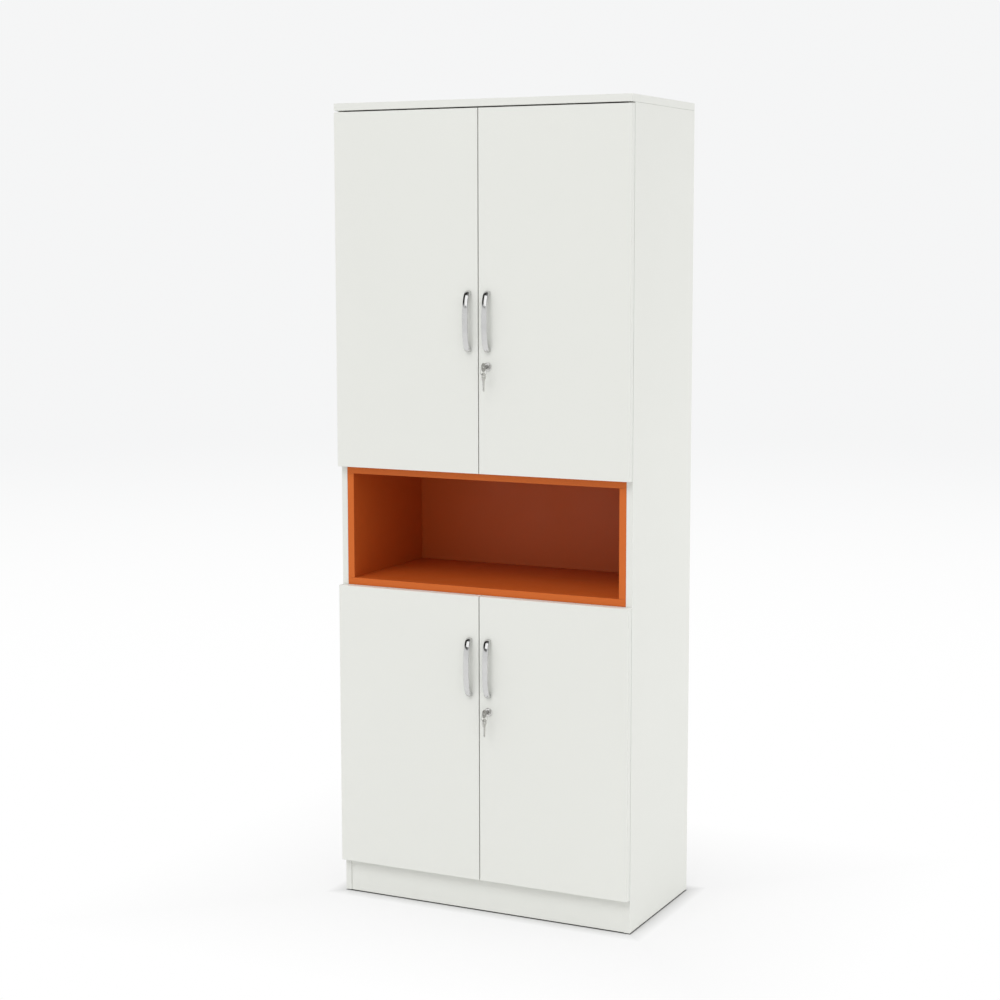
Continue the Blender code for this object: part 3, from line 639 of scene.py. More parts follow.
class CABINET_OT_carcass(Operator):
    """Builds the boards of the carcass, with their pin holes"""

    bl_idname = "cabinet.add_carcass"
    bl_label = "Carcass boards"

    def execute(self, context):
        look = finishes()
        sizes = context.scene.cabinet_sizes
        for node in PANELS:
            piece = board(node + "_board", *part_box(node), look.white, look.white_band)
            if node in BOLTED_PANELS:
                x, y = bolt_axis()
                low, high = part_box(node)
                ends = (x, y, low.z - OVERCUT), (x, y, high.z + OVERCUT)
                cut(piece, [rod("bolt_hole", BOLT_HOLE, *ends, 32)])
            hang(piece, "carcass", "white_board", node)
        back = board("back_sheet", *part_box("back_panel"), look.sheet, look.sheet)
        hang(back, "carcass", "back_sheet", "back_panel")
        for hand, inwards in HANDS.items():
            low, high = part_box("side_panel_" + hand)
            outer = -inwards * max(abs(low.x), abs(high.x))
            inner = -inwards * INNER_FACE
            low = Vector((min(outer, inner), low.y, GLIDE_TOP))
            high = Vector((max(outer, inner), high.y, high.z))
            side = board("side_board_" + hand, low, high, look.white, look.white_band)
            cutters = []
            for x, y, z in pin_places(hand):
                for step in SPARE_HOLES:
                    height = z + step * sizes.pin_pitch
                    ends = (x + inwards * PIN_OVERCUT, y, height), (x - inwards * PIN_DEPTH, y, height)
                    cutters.append(rod("pin_hole", sizes.pin_hole / 2, *ends, 20))
            cut(side, cutters)
            hang(side, "carcass", "white_board", "side_panel_" + hand)
        return {"FINISHED"}


class CABINET_OT_niche(Operator):
    """Builds the orange boards of the open niche"""

    bl_idname = "cabinet.add_niche"
    bl_label = "Niche"

    def execute(self, context):
        look = finishes()
        for node in ("niche_floor", "niche_roof", "niche_cheek_left", "niche_cheek_right", "niche_back"):
            piece = board(node + "_board", *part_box(node), look.orange, look.orange_band)
            hang(piece, "carcass", "orange_board", node)
        return {"FINISHED"}


# Doors
CUP_BORE = 0.0180
CUP_PLAY = 0.0002
LOCK_BORE = 0.0086


def door_bore(name, radius, node, end, sides):
    """A cutter from behind the door, in line with the middle of what goes into it."""
    middle = centre(node)
    start = (middle.x, DOOR_BACK + OVERCUT, middle.z)
    return rod(name, radius, start, (middle.x, end, middle.z), sides)


class CABINET_OT_doors(Operator):
    """Builds the four doors with their bores for hinges and locks"""

    bl_idname = "cabinet.add_doors"
    bl_label = "Doors"

    def execute(self, context):
        look = finishes()
        for leaf in LEAVES:
            piece = board("leaf_" + leaf, *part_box("door_" + leaf), look.white, look.white_band)
            cutters = []
            for level in LEVELS:
                cup = f"hinge_cup_{leaf}_{level}"
                cutters.append(door_bore("cup_bore", CUP_BORE, cup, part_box(cup)[0].y - CUP_PLAY, 48))
            tier, hand = leaf.split("_")
            if hand == "right":
                front = DOOR_FRONT - OVERCUT
                cutters.append(door_bore("lock_bore", LOCK_BORE, "lock_body_" + tier, front, 32))
            cut(piece, cutters)
            hang(piece, "leaf_" + leaf, "white_board", "door_" + leaf)
        return {"FINISHED"}


# Handles
HANDLE_FOOT = 0.011
HANDLE_STRAP = 0.0045
HANDLE_FULLNESS = 2.5
HANDLE_BACK_ROUND = 0.0005
OUTER_STEPS = 48
INNER_STEPS = 40
CROWN_STEPS = 5


def arch(half_length, reach, steps):
    """Points of a full arch in height and distance out, from its foot to its head."""
    power = 2 / HANDLE_FULLNESS
    points = []
    for step in range(steps + 1):
        turn = math.pi * step / steps
        along = -math.copysign(abs(math.cos(turn)) ** power, math.cos(turn))
        points.append((half_length * along, reach * abs(math.sin(turn)) ** power))
    return points


def handle_bow(low, high, sizes):
    """An arched strap, crowned across its width and rounded along its outer edges."""
    crown = sizes.handle_crown
    width = high.x - low.x
    half = (high.z - low.z) / 2
    reach = DOOR_FRONT - low.y
    middle = (low.z + high.z) / 2
    root = Vector(((low.x + high.x) / 2, DOOR_FRONT, middle))
    outer = arch(half - crown, reach - crown, OUTER_STEPS)
    inner = arch(half - HANDLE_FOOT, reach - HANDLE_STRAP, INNER_STEPS)
    outline = [(low.x, DOOR_FRONT - out, middle + along) for along, out in outer + inner[::-1]]
    bow = plate("bow_upper_left", outline, (width, 0, 0))

    def runs_across(edge):
        return abs(edge.verts[0].co.x - edge.verts[1].co.x) > width / 2

    def faces_out(face):
        aside = abs(face.normal.x) > ALONG_AXIS
        return not aside and face.normal.dot(face.calc_center_median() - root) > 0

    def at_flank(edge):
        return any(abs(face.normal.x) > ALONG_AXIS for face in edge.link_faces)

    with editing(bow, "EDGE"):
        pick(bow, "edges", runs_across)
        bpy.ops.mesh.subdivide(number_cuts=2 * CROWN_STEPS - 1)
    column = width / (2 * CROWN_STEPS)
    for step in range(1, CROWN_STEPS + 1):
        rise = crown * ((1 - (step - 1) / CROWN_STEPS) ** 2 - (1 - step / CROWN_STEPS) ** 2)
        inside = (CROWN_STEPS - step + 0.5) * column

        def raised(vert):
            return abs(vert.co.x - root.x) < inside and any(map(faces_out, vert.link_faces))

        with editing(bow, "VERT"):
            pick(bow, "verts", raised)
            bpy.ops.transform.shrink_fatten(value=rise)
    with editing(bow, "EDGE"):
        pick(bow, "edges", lambda edge: at_flank(edge) and any(map(faces_out, edge.link_faces)))
        bpy.ops.mesh.bevel(offset=sizes.handle_round, segments=5, affect="EDGES")
        pick(bow, "edges", lambda edge: at_flank(edge) and edge.calc_face_angle() > 1)
        bpy.ops.mesh.bevel(offset=HANDLE_BACK_ROUND, segments=3, affect="EDGES")
    return bow


class CABINET_OT_handles(Operator):
    """Builds the chromed bow handles"""

    bl_idname = "cabinet.add_handles"
    bl_label = "Handles"

    def execute(self, context):
        low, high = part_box("handle_upper_left")
        bow = handle_bow(low, high, context.scene.cabinet_sizes)
        polish(bow, finishes().chrome)
        for leaf in LEAVES:
            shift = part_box("handle_" + leaf)[0] - low
            piece = bow if shift.length == 0 else copy_of(bow, "bow_" + leaf, shift)
            hang(piece, "leaf_" + leaf, "chrome", "handle_" + leaf)
        return {"FINISHED"}


# Screws
def cross_head(radius):
    """A screw's pan head with its cross recess, facing up at the origin."""
    profile = [(0, 0), (1, 0), (1, 0.14), (0.94, 0.32), (0.78, 0.47), (0.5, 0.57), (0, 0.62)]
    head = turned("screw_head", [(radius * out, radius * up) for out, up in profile], (0, 0, 0), UP, 24)
    arm, half = 0.66 * radius, 0.12 * radius
    foot, above = 0.2 * radius, radius
    cross = [
        block("cross", (-arm, -half, foot), (arm, half, above)),
        block("cross", (-half, -arm, foot), (half, arm, above)),
    ]
    cut(head, cross)
    return head


def screws(name, radius, material, facing, places):
    """Screw heads at places, made into one."""
    with pattern(cross_head(radius), material) as head:
        return scatter(head, name, facing, places)


# Locks
THREAD_START = 0.0012
THREAD_END = 0.0014
THREAD_PITCH = 0.001
THREAD_ROOT = 0.0078
THREAD_CREST = 0.0082
LOCK_NUT = 0.0122
LOCK_NUT_BORE = 0.0083
LOCK_NUT_FRONT = 0.0002
LOCK_NUT_BACK = 0.0032
CAM_THICK = 0.0024
CAM_NUT = 0.0042
CAM_NUT_DEEP = 0.0030
KEYWAY_HALF = 0.0014
KEYWAY_REACH = 0.0035
KEYWAY_DEEP = 0.0152


def lock_shell(root, deep):
    """The rosette and the barrel, threaded where it comes out of the door."""
    threads = []
    ridge = DOOR_BACK - root.y - THREAD_START
    while ridge < deep - THREAD_END:
        threads += [(THREAD_ROOT, ridge), (THREAD_CREST, ridge + THREAD_PITCH / 2)]
        ridge += THREAD_PITCH
    profile = [
        (0.0058, 0.00035), (0.0061, 0), (0.0086, 0), (0.0096, 0.00015), (0.0102, 0.0006),
        (0.0105, 0.0014), (0.0105, 0.0025), (THREAD_CREST, 0.0025), *threads,
        (THREAD_CREST, deep - 0.0004), (THREAD_ROOT, deep), (0.0058, deep),
    ]
    return turned("lock_shell_upper", profile, root, BACK, 64)


def lock_nut(root):
    """The large nut that holds the lock against the door's back."""
    front, back = DOOR_BACK + LOCK_NUT_FRONT, DOOR_BACK + LOCK_NUT_BACK
    nut = rod("lock_nut_upper", LOCK_NUT, (root.x, front, root.z), (root.x, back, root.z), 6)
    round_edges(nut, 0.0005, 40)
    bore = (root.x, DOOR_BACK - OVERCUT, root.z), (root.x, DOOR_BACK + OVERCUT, root.z)
    cut(nut, [rod("nut_bore", LOCK_NUT_BORE, *bore, 48)])
    return nut


def lock_core(root, low, high):
    """The plug with its keyway, the cam behind the door and the small nut that holds it."""
    cam_back = high.y - CAM_NUT_DEEP
    cam_front = cam_back - CAM_THICK
    tail = cam_front + CAM_THICK / 2 - low.y
    profile = [(0, 0), (0.0046, 0), (0.0052, 0.00015), (0.0055, 0.0005), (0.0055, tail), (0, tail)]
    plug = turned("plug", profile, (root.x, low.y, root.z), BACK, 48)
    slot_low = (root.x - KEYWAY_HALF, low.y - OVERCUT, root.z - KEYWAY_REACH)
    slot_high = (root.x + KEYWAY_HALF, low.y + KEYWAY_DEEP, root.z + KEYWAY_REACH)
    cut(plug, [block("keyway", slot_low, slot_high)])
    half = (high.x - low.x) / 2
    tip = low.z + half
    outline = [*arc((root.x, root.z), half, 0, 180, 20), *arc((root.x, tip), half, 180, 360, 20)]
    cam = plate("cam", [(x, cam_front, z) for x, z in outline], (0, cam_back - cam_front, 0))
    round_edges(cam, 0.0004, 60)
    nut = rod("cam_nut", CAM_NUT, (root.x, cam_back - 0.001, root.z), (root.x, high.y, root.z), 6)
    round_edges(nut, METAL_ROUND, 40)
    stud = [(0, 0), (0.0020, 0), (0.0020, 0.0034), (0.0016, 0.0038), (0, 0.0038)]
    end = turned("stud", stud, (root.x, cam_back, root.z), BACK, 24)
    return joined("lock_core_upper", [plug, cam, nut, end])


class CABINET_OT_locks(Operator):
    """Builds the lock bodies with their nuts, and the plugs with their cams"""

    bl_idname = "cabinet.add_locks"
    bl_label = "Locks"

    def execute(self, context):
        look = finishes()
        low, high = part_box("lock_body_upper")
        root = centre("lock_body_upper")
        root.y = low.y
        shell = lock_shell(root, high.y - low.y)
        nut = lock_nut(root)
        core = lock_core(root, *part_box("lock_plug_upper"))
        for piece, plating in ((shell, look.lock), (nut, look.nickel), (core, look.lock)):
            polish(piece, plating)
        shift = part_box("lock_body_lower")[0] - low
        for tier, pieces in both_tiers((shell, nut, core), shift):
            hang(pieces[0], f"leaf_{tier}_right", "lock_metal", "lock_body_" + tier)
            hang(pieces[1], f"leaf_{tier}_right", "lock_metal")
            hang(pieces[2], "rotor_" + tier, "lock_metal", "lock_plug_" + tier)
        return {"FINISHED"}


# Keys
KEY_BOW = 0.0105
KEY_HOLE = 0.0035
KEY_NECK = 0.0042
KEY_SHOULDER = 0.0211
KEY_BLADE = 0.0032
KEY_TAPER = 0.0329
KEY_TIP = 0.0004
KEY_BOW_TO_TIP = 0.0361
KEY_CUTS = (
    (0.0211, -0.0032), (0.0232, -0.0032), (0.0239, -0.0021), (0.0246, -0.0021), (0.0252, -0.0029),
    (0.0259, -0.0029), (0.0266, -0.0016), (0.0273, -0.0016), (0.0281, -0.0026), (0.0288, -0.0026),
    (0.0294, -0.0019), (0.0301, -0.0019), (0.0308, -0.0031), (0.0329, -0.0031),
)
GROOVE_DEEP = 0.0005
GROOVE_START = 0.0125
RING_RADIUS = 0.0088
RING_WIRE = 0.00045
RING_STEPS = 48
RING_START = math.radians(60)
RING_CROSSING = 0.2


def flat_key(name, middle, thick):
    """A flat key on edge, with its blade to the back, its cuts below and its grooves on both sides."""
    neck = math.degrees(math.asin(KEY_NECK / KEY_BOW))
    outline = [
        *arc((0, 0), KEY_BOW, neck, 360 - neck, 44), (KEY_SHOULDER, -KEY_NECK), *KEY_CUTS,
        (KEY_BOW_TO_TIP, -KEY_TIP), (KEY_BOW_TO_TIP, KEY_TIP), (KEY_TAPER, KEY_BLADE),
        (KEY_SHOULDER, KEY_BLADE), (KEY_SHOULDER, KEY_NECK),
    ]
    points = [(middle.x, middle.y + along, middle.z + up) for along, up in outline]
    key = plate(name, points, (thick, 0, 0))
    hole = middle - Vector((OVERCUT, 0, 0)), middle + Vector((OVERCUT, 0, 0))
    cutters = [rod("ring_hole", KEY_HOLE, *hole, 40)]
    for face, foot, head in ((0.0, 0.0002, 0.0014), (thick, -0.0012, 0.0001)):
        low = middle + Vector((face - GROOVE_DEEP, GROOVE_START, foot))
        high = middle + Vector((face + GROOVE_DEEP, KEY_BOW_TO_TIP + OVERCUT, head))
        cutters.append(block("groove", low, high))
    cut(key, cutters)
    round_edges(key, 0.0002, 50)
    return key


def split_ring(middle):
    """A split ring: two turns of wire side by side."""
    points = []
    for step in range(2 * RING_STEPS + 1):
        turns = step / RING_STEPS
        turn = RING_START + 2 * math.pi * turns
        crossing = min(max((turns - 1 + RING_CROSSING / 2) / RING_CROSSING, 0.0), 1.0)
        aside = RING_WIRE * (2 * crossing * crossing * (3 - 2 * crossing) - 1)
        x, z = RING_RADIUS * math.cos(turn), RING_RADIUS * math.sin(turn)
        points.append(middle + Vector((x, aside, z)))
    hold(line("split_ring", points))
    bpy.ops.object.convert(target="CURVE")
    wire = bpy.context.active_object.data
    wire.bevel_depth = RING_WIRE
    wire.bevel_resolution = 3
    wire.use_fill_caps = True
    bpy.ops.object.convert(target="MESH")
    return bpy.context.active_object


class CABINET_OT_keys(Operator):
    """Builds the key in each lock, and the spare key on its split ring"""

    bl_idname = "cabinet.add_keys"
    bl_label = "Keys"

    def execute(self, context):
        look = finishes()
        low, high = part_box("key_upper")
        spare_low, spare_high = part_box("spare_key_upper")
        middle = Vector((low.x, low.y + KEY_BOW, (low.z + high.z) / 2))
        key = flat_key("key_in_upper", middle, high.x - low.x)
        hung = Vector((middle.x, middle.y, spare_low.z + KEY_BOW_TO_TIP))
        duplicate(key).matrix_world = (
            Matrix.Translation(hung) @ Matrix.Rotation(-math.pi / 2, 4, "X") @ Matrix.Translation(-middle)
        )
        spare = settle("spare_blank")
        ring_height = spare_high.z - RING_RADIUS - RING_WIRE
        ring = split_ring(Vector(((spare_low.x + spare_high.x) / 2, middle.y, ring_height)))
        spare = joined("spare_upper_set", [spare, ring])
        polish(key, look.key)
        polish(spare, look.spare)
        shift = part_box("key_lower")[0] - low
        for tier, pieces in both_tiers((key, spare), shift):
            hang(pieces[0], "rotor_" + tier, "key_metal", "key_" + tier)
            hang(pieces[1], "spare_" + tier, "key_metal", "spare_key_" + tier)
        return {"FINISHED"}


# Hinges
WING_THICK = 0.0016
WING_BACK = 0.039
WING_SCREW = 0.0038
WING_SCREWS = (-0.0195, 0.0195)
SMALL_SCREW = 0.0029
SETTING_SCREWS = (0.017, 0.034)
CUP_SCREWS = (-0.0216, 0.0216)
CUP_LIFT = 0.0003
EAR_CORNER = 0.0035
EAR_HALF = 0.007
PIVOT_RADIUS = 0.00125
PIVOT_HALF = 0.0118
PIVOT_ASIDE = 0.0115
PIVOT_DEEP = 0.004


def hinge_arm(node, name, plating):
    """The arm on its winged plate, with the plate's screws and the two that set the arm."""
    low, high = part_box(node)
    middle = centre(node).z
    arm = refined(node, name, plating)
    places = [(low.x + WING_THICK, DOOR_BACK + WING_BACK, middle + z) for z in WING_SCREWS]
    wing = screws("wing_screws", WING_SCREW, plating, RIGHT, places)
    places = [(high.x, DOOR_BACK + back, middle) for back in SETTING_SCREWS]
    setting = screws("setting_screws", SMALL_SCREW, plating, RIGHT, places)
    return joined(name, [arm, wing, setting])


def hinge_cup(node, name, plating):
    """The cup with its rim, its two ears and screws, and the pin that the link turns on."""
    low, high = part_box(node)
    middle = centre(node)
    middle.y = DOOR_BACK
    rim = high.y - DOOR_BACK
    deep = low.y - DOOR_BACK
    profile = [
        (0, deep), (0.0166, deep), (0.0175, deep + 0.0009), (0.0175, CUP_LIFT), (0.0185, CUP_LIFT),
        (0.0185, rim - 0.0004), (0.0181, rim), (0.0168, rim), (0.0163, rim - 0.0005),
        (0.0163, deep + 0.0022), (0.0152, deep + 0.0011), (0, deep + 0.0011),
    ]
    cup = turned(name, profile, middle, BACK, 64)
    reach = (high.z - low.z) / 2
    outline = []
    for x, z, start in ((1, 1, 0), (-1, 1, 90), (-1, -1, 180), (1, -1, 270)):
        turn = (middle.x + x * (EAR_HALF - EAR_CORNER), middle.z + z * (reach - EAR_CORNER))
        outline += arc(turn, EAR_CORNER, start, start + 90, 6)
    points = [(x, DOOR_BACK + CUP_LIFT, z) for x, z in outline]
    ears = plate("ears", points, (0, rim - CUP_LIFT, 0))
    round_edges(ears, METAL_ROUND, 60)
    through = middle - Vector((0, OVERCUT, 0)), middle + Vector((0, OVERCUT, 0))
    cut(ears, [rod("cup_room", CUP_BORE, *through, 64)])
    x, y = middle.x - PIVOT_ASIDE, DOOR_BACK - PIVOT_DEEP
    pin = rod("pin", PIVOT_RADIUS, (x, y, middle.z - PIVOT_HALF), (x, y, middle.z + PIVOT_HALF), 24)
    round_edges(pin, 0.0002, 60)
    body = joined(name, [cup, ears, pin])
    dress(body, plating)
    places = [(middle.x, high.y, middle.z + z) for z in CUP_SCREWS]
    return joined(name, [body, screws("cup_screws", SMALL_SCREW, plating, BACK, places)])


class CABINET_OT_hinges(Operator):
    """Builds the cup hinges with their screws"""

    bl_idname = "cabinet.add_hinges"
    bl_label = "Hinges"

    def execute(self, context):
        plating = finishes().nickel
        first = "upper_left_bottom"
        forms = ("arm", hinge_arm, "carcass"), ("link", refined, "links_{}"), ("cup", hinge_cup, "leaf_{}")
        for form, model, body in forms:
            piece = model(f"hinge_{form}_{first}", form, plating)
            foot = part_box(f"hinge_{form}_{first}")[0].z
            for leaf in LEAVES:
                for level in LEVELS:
                    node = f"hinge_{form}_{leaf}_{level}"
                    shift = (0, 0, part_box(node)[0].z - foot)
                    made = copy_of(piece, f"{form}_{leaf}_{level}", shift, leaf.endswith("right"))
                    smooth(made)
                    hang(made, body.format(leaf), "hinge_steel", node)
            bpy.data.objects.remove(piece)
        return {"FINISHED"}


# Slide bolts
GUIDE_THICK = 0.0016
GUIDE_SCREW = 0.0021
GUIDE_SCREWS = (-0.007, 0.007)
KNOB_STEM = 0.0022
KNOB_ASIDE = 0.007


def bolt_guide(tier, head, plating):
    """The guide with its two screws."""
    name = "bolt_guide_body_" + tier
    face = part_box("bolt_guide_" + tier)[0].y + GUIDE_THICK
    height = centre("bolt_guide_" + tier).z
    places = [(bolt_axis()[0] + side, face, height) for side in GUIDE_SCREWS]
    body = refined("bolt_guide_" + tier, name, plating)
    guide = joined(name, [body, scatter(head, "guide_screws", BACK, places)])
    smooth(guide)
    return guide


def slide_bolt(tier, way):
    """The bar with both ends rounded, and the knob that moves it."""
    x, y = bolt_axis()
    low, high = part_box("bolt_rod_" + tier)
    radius = (high.x - low.x) / 2
    end = high.z - low.z
    profile = [
        (0, 0), (0.0018, 0), (0.0026, 0.0004), (radius, 0.0012), (radius, end - 0.0012),
        (0.0026, end - 0.0004), (0.0018, end), (0, end),
    ]
    bar = turned("bolt_bar", profile, (x, y, low.z), UP, 32)
    out = high.y - y
    profile = [
        (0, 0), (KNOB_STEM, 0), (KNOB_STEM, out - 0.0052), (0.0026, out - 0.0048), (radius, out - 0.004),
        (radius, out - 0.001), (0.0024, out - 0.0002), (0.0015, out), (0, out),
    ]
    height = centre("bolt_guide_" + tier).z - way * KNOB_ASIDE
    knob = turned("bolt_knob", profile, (x, y, height), BACK, 32)
    return joined("bolt_bar_" + tier, [bar, knob])


class CABINET_OT_bolts(Operator):
    """Builds the slide bolts of the left leaves with their guides"""

    bl_idname = "cabinet.add_bolts"
    bl_label = "Slide bolts"

    def execute(self, context):
        plating = finishes().nickel
        with pattern(cross_head(GUIDE_SCREW), plating) as head:
            for tier, way in (("lower", 1), ("upper", -1)):
                guide = bolt_guide(tier, head, plating)
                hang(guide, f"leaf_{tier}_left", "hinge_steel", "bolt_guide_" + tier)
                bolt = slide_bolt(tier, way)
                polish(bolt, plating)
                hang(bolt, "bolt_" + tier, "hinge_steel", "bolt_rod_" + tier)
        return {"FINISHED"}


# Pins, glides and screws
GLIDE_INSET = 0.045
GLIDE_HEAD = GLIDE_TOP + 0.0003
PIN_PROFILE = (
    (0, -0.004), (0.0024, -0.004), (0.0024, 0), (0.0036, 0), (0.0036, 0.0006), (0.0033, 0.0009),
    (0.0025, 0.0009), (0.0025, 0.0061), (0.0021, 0.0067), (0.0014, 0.0070), (0, 0.0070),
)
GLIDE_PROFILE = (
    (0, 0), (0.0048, 0), (0.0058, 0.0003), (0.0064, 0.0009), (0.0065, 0.0015), (0.0065, GLIDE_HEAD),
    (0, GLIDE_HEAD),
)
HANDLE_SCREW = 0.0042
HANDLE_SCREWS = (-0.0695, 0.0695)
SHEET_SCREW = 0.0030
SHEET_SCREW_SUNK = 0.0006
SHEET_SCREW_PITCH = 0.165


class CABINET_OT_fittings(Operator):
    """Builds the shelf pins, the floor glides and the small screws"""

    bl_idname = "cabinet.add_fittings"
    bl_label = "Pins, glides and screws"

    def execute(self, context):
        look = finishes()
        with pattern(turned("shelf_pin", PIN_PROFILE, (0, 0, 0), UP, 24), look.nickel) as pin:
            for hand, inwards in HANDS.items():
                pins = scatter(pin, "shelf_pins_" + hand, (inwards, 0, 0), pin_places(hand))
                hang(pins, "carcass", "hinge_steel")
        with pattern(turned("glide", GLIDE_PROFILE, (0, 0, 0), UP, 32), look.plastic) as glide:
            for hand, inwards in HANDS.items():
                low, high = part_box("side_panel_" + hand)
                x = -inwards * (INNER_FACE + CAD_BOX[1][0]) / 2
                places = [(x, y, 0) for y in (low.y + GLIDE_INSET, high.y - GLIDE_INSET)]
                hang(scatter(glide, "floor_glides_" + hand, UP, places), "carcass", "white_board")
        with pattern(cross_head(HANDLE_SCREW), look.nickel) as head:
            for leaf in LEAVES:
                middle = centre("handle_" + leaf)
                places = [(middle.x, DOOR_BACK, middle.z + up) for up in HANDLE_SCREWS]
                hang(scatter(head, "handle_screws_" + leaf, BACK, places), "leaf_" + leaf, "chrome")
        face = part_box("back_panel")[1].y - SHEET_SCREW_SUNK
        heights = [centre(node).z for node in ("bottom_panel", *BOLTED_PANELS)]
        places = [(step * SHEET_SCREW_PITCH, face, height) for height in heights for step in range(-2, 3)]
        rows = screws("back_sheet_screws", SHEET_SCREW, look.nickel, BACK, places)
        hang(rows, "carcass", "hinge_steel")
        return {"FINISHED"}


# Stage
FLOOR_RADIUS = 40.0
BACKDROP_FADE = (2.5, 13.0)
FOOTPRINT_FADE = (-0.001, 0.003)
CONTACT_FADE = (0.004, 0.042)
SHADOW_FADE = (0.042, 0.6)
SHADOW_GLOW = 0.72
# Painted shade: the floor's seen colour under the footprint and beside it, darker than the floor that
# bounces light
SHADE_BELOW = 0.15
SHADE_BESIDE = 0.92
KEY_LIGHT_ANGLE = math.radians(28)
RAFTERS_FADE = (math.sin(math.radians(8)), math.sin(math.radians(11)))
CEILING_TO_WALL = (-0.25, 0.35)


def seen_directly(tree):
    """One for what the camera sees straight, mirrored or through glass, and nought for other light."""
    path = add(tree, "ShaderNodeLightPath").outputs
    total = reckon(tree, "ADD", path["Is Camera Ray"], path["Is Glossy Ray"])
    return reckon(tree, "ADD", total, path["Is Transmission Ray"], use_clamp=True)


def studio_floor(colours):
    """White near the cabinet with its real shadow over painted shade round and under its base, and the
    backdrop's colour far off.
    """
    made = bpy.data.materials.new("studio_floor")
    made.use_nodes = True
    tree = made.node_tree
    tree.nodes.clear()

    def paint(tint):
        return add(tree, "ShaderNodeBsdfDiffuse", {"Color": tint}).outputs["BSDF"]

    place = add(tree, "ShaderNodeTexCoord").outputs["Object"]
    away = add(tree, "ShaderNodeVectorMath", {0: place}, operation="LENGTH").outputs["Value"]
    far = ranged(tree, away, *BACKDROP_FADE, interpolation_type="SMOOTHSTEP")
    low, high = CAD_BOX
    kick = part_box("plinth_board")[0].y
    middle = ((low[0] + high[0]) / 2, (kick + high[1]) / 2, 0.0)
    footprint = ((high[0] - low[0]) / 2, (high[1] - kick) / 2, 0.0)
    apart = reckon_vector(tree, "ABSOLUTE", reckon_vector(tree, "SUBTRACT", place, middle))
    past = reckon_vector(tree, "SUBTRACT", apart, footprint)
    past = add(tree, "ShaderNodeSeparateXYZ", {0: past}).outputs
    beyond = reckon(tree, "MAXIMUM", past["X"], past["Y"])
    # Painted shade: near the base the glow gives way to the darker diffuse floor, which is darkened to
    # SHADE_BELOW under the footprint, on top of the real shadow
    open_floor = ranged(tree, beyond, *CONTACT_FADE)
    clear = ranged(tree, beyond, *SHADOW_FADE, SHADOW_GLOW)
    beside = ranged(tree, beyond, *FOOTPRINT_FADE)
    shadow = blend(tree, beside, rgba(colours.floor, SHADE_BELOW), rgba(colours.floor, SHADE_BESIDE))
    shade = blend(tree, far, WHITE, rgba(colours.far))
    glow = add(tree, "ShaderNodeEmission", {"Color": shade, "Strength": 1.0}).outputs["Emission"]
    seen = mix(tree, reckon(tree, "MULTIPLY", open_floor, clear), paint(shadow), glow)
    whole = mix(tree, seen_directly(tree), paint(rgba(colours.floor)), seen)
    add(tree, "ShaderNodeOutputMaterial", {"Surface": whole})
    return made


def studio_room(colours, studio):
    """Light from all round; the camera sees the backdrop, and metal mirrors a dim ceiling and wall."""
    made = bpy.data.worlds.new("studio_room")
    made.use_nodes = True
    tree = made.node_tree
    tree.nodes.clear()

    def background(tint, strength=1.0):
        inputs = {"Color": tint, "Strength": strength}
        return add(tree, "ShaderNodeBackground", inputs).outputs["Background"]

    way = add(tree, "ShaderNodeTexCoord").outputs["Generated"]
    way = add(tree, "ShaderNodeSeparateXYZ", {0: way}).outputs
    room = background(WHITE, ranged(tree, way["Z"], 0.0, 1.0, studio.wall_light, studio.ceiling_light))
    right = ranged(tree, way["X"], *CEILING_TO_WALL)
    gloom = blend(tree, right, rgba(colours.ceiling), rgba(colours.wall))
    mirrored = add(tree, "ShaderNodeLightPath").outputs["Is Glossy Ray"]
    dark = reckon(tree, "MULTIPLY", ranged(tree, way["Z"], *RAFTERS_FADE), mirrored)
    shown = mix(tree, dark, background(rgba(colours.far)), background(gloom))
    add(tree, "ShaderNodeOutputWorld", {"Surface": mix(tree, seen_directly(tree), room, shown)})
    return made


def lamp(kind, name, stand, target, power, mirrored=False):
    """A lamp that faces a target and lights dull faces or shows in shiny ones, never to the camera."""
    deselect()
    facing = (Vector(target) - Vector(stand)).to_track_quat("-Z", "Y").to_euler()
    bpy.ops.object.light_add(type=kind, location=stand, rotation=facing)
    made = bpy.context.active_object
    made.name = name
    made.data.energy = power
    made.visible_camera = False
    made.visible_diffuse = not mirrored
    made.visible_glossy = mirrored
    return made.data


def softbox(name, stand, target, size, power, mirrored=False):
    """A lamp with a rectangular face."""
    light = lamp("AREA", name, stand, target, power, mirrored)
    light.shape = "RECTANGLE"
    light.size, light.size_y = size


def studio_camera(studio):
    """A camera at its place, turned, dipped and rolled."""
    deselect()
    bpy.ops.object.camera_add(location=studio.camera_place)
    camera = bpy.context.active_object
    camera.name = "studio_camera"
    camera.matrix_world = (
        Matrix.Translation(studio.camera_place)
        @ Matrix.Rotation(studio.camera_turn, 4, "Z")
        @ Matrix.Rotation(math.pi / 2 - studio.camera_dip, 4, "X")
        @ Matrix.Rotation(studio.camera_roll, 4, "Z")
    )
    camera.data.lens = studio.lens
    return camera


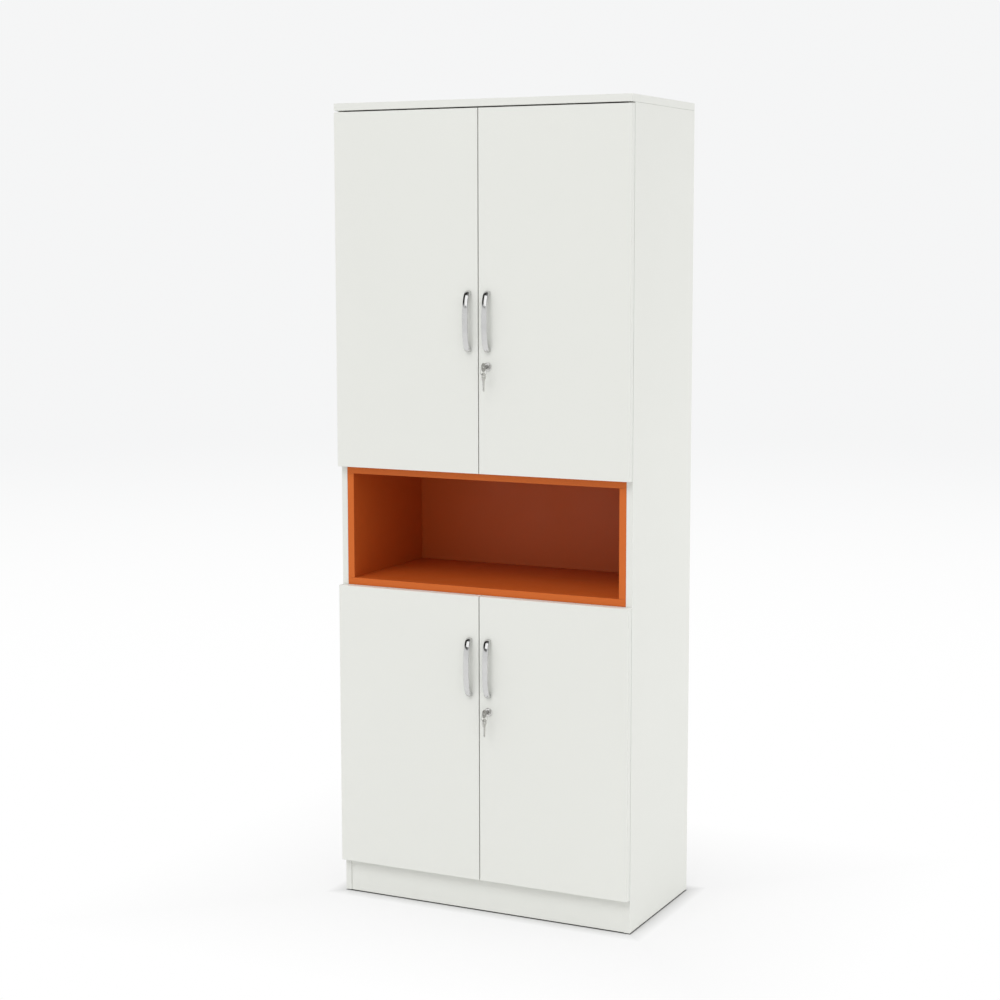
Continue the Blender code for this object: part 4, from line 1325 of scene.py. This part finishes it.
class CABINET_OT_stage(Operator):
    """Lays the floor, hangs the lamps, sets the background and places the camera"""

    bl_idname = "cabinet.set_stage"
    bl_label = "Stage"

    def execute(self, context):
        scene = context.scene
        colours, studio = scene.cabinet_colours, scene.cabinet_studio
        deselect()
        bpy.ops.mesh.primitive_circle_add(vertices=128, radius=FLOOR_RADIUS, fill_type="NGON")
        floor = settle("studio_floor")
        dress(floor, studio_floor(colours))
        floor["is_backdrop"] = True
        key = lamp("SUN", "key_light", (-0.4, -3.7, 5.2), (0, -0.2, 1.0), studio.key_strength)
        key.angle = KEY_LIGHT_ANGLE
        softbox("top_softbox", (0.6, -0.8, 4.6), (0.3, 0.0, 0), (3.0, 3.0), studio.top_power)
        softbox("sheen_softbox", (-0.6, -7.0, 5.4), (0, -0.2, 1.5), (8.4, 5.0), studio.sheen_power, True)
        softbox("side_softbox", (4.2, 2.0, 0.5), (0.4, 0.0, 0.6), (2.6, 2.0), studio.side_power)
        scene.world = studio_room(colours, studio)
        scene.camera = studio_camera(studio)
        scene.view_settings.view_transform = "Standard"
        return {"FINISHED"}


class CABINET_PT_panel(Panel):
    """Lists the cabinet's pieces, sizes and colours"""

    bl_idname = "CABINET_PT_panel"
    bl_label = "File cabinet"
    bl_space_type = "VIEW_3D"
    bl_region_type = "UI"
    bl_category = "Cabinet"

    def draw(self, context):
        for group in SETTINGS:
            settings = getattr(context.scene, group)
            for name in settings.__annotations__:
                self.layout.prop(settings, name)
        for step in STEPS:
            self.layout.operator(step.bl_idname)


STEPS = (
    CABINET_OT_stage, CABINET_OT_carcass, CABINET_OT_niche, CABINET_OT_doors, CABINET_OT_handles,
    CABINET_OT_locks, CABINET_OT_keys, CABINET_OT_hinges, CABINET_OT_bolts, CABINET_OT_fittings,
)
SETTINGS = {
    "cabinet_sizes": CabinetSizes, "cabinet_colours": CabinetColours, "cabinet_studio": StudioSettings
}
CLASSES = (*SETTINGS.values(), *STEPS, CABINET_PT_panel)


def register():
    for kind in CLASSES:
        bpy.utils.register_class(kind)
    for name, kind in SETTINGS.items():
        setattr(bpy.types.Scene, name, PointerProperty(type=kind))


def unregister():
    for name in SETTINGS:
        delattr(bpy.types.Scene, name)
    for kind in reversed(CLASSES):
        bpy.utils.unregister_class(kind)


def main():
    """Builds the stage and the cabinet, and works out the size of the frame and of what was built."""
    register()
    bpy.ops.cabinet.set_stage()
    bpy.ops.cabinet.add_carcass()
    bpy.ops.cabinet.add_niche()
    bpy.ops.cabinet.add_doors()
    bpy.ops.cabinet.add_handles()
    bpy.ops.cabinet.add_locks()
    bpy.ops.cabinet.add_keys()
    bpy.ops.cabinet.add_hinges()
    bpy.ops.cabinet.add_bolts()
    bpy.ops.cabinet.add_fittings()
    boxes = {"cad": CAD_BOX, "visual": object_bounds()}
    {name: [list(corner) for corner in box] for name, box in boxes.items()}


if __name__ == "__main__":
    main()
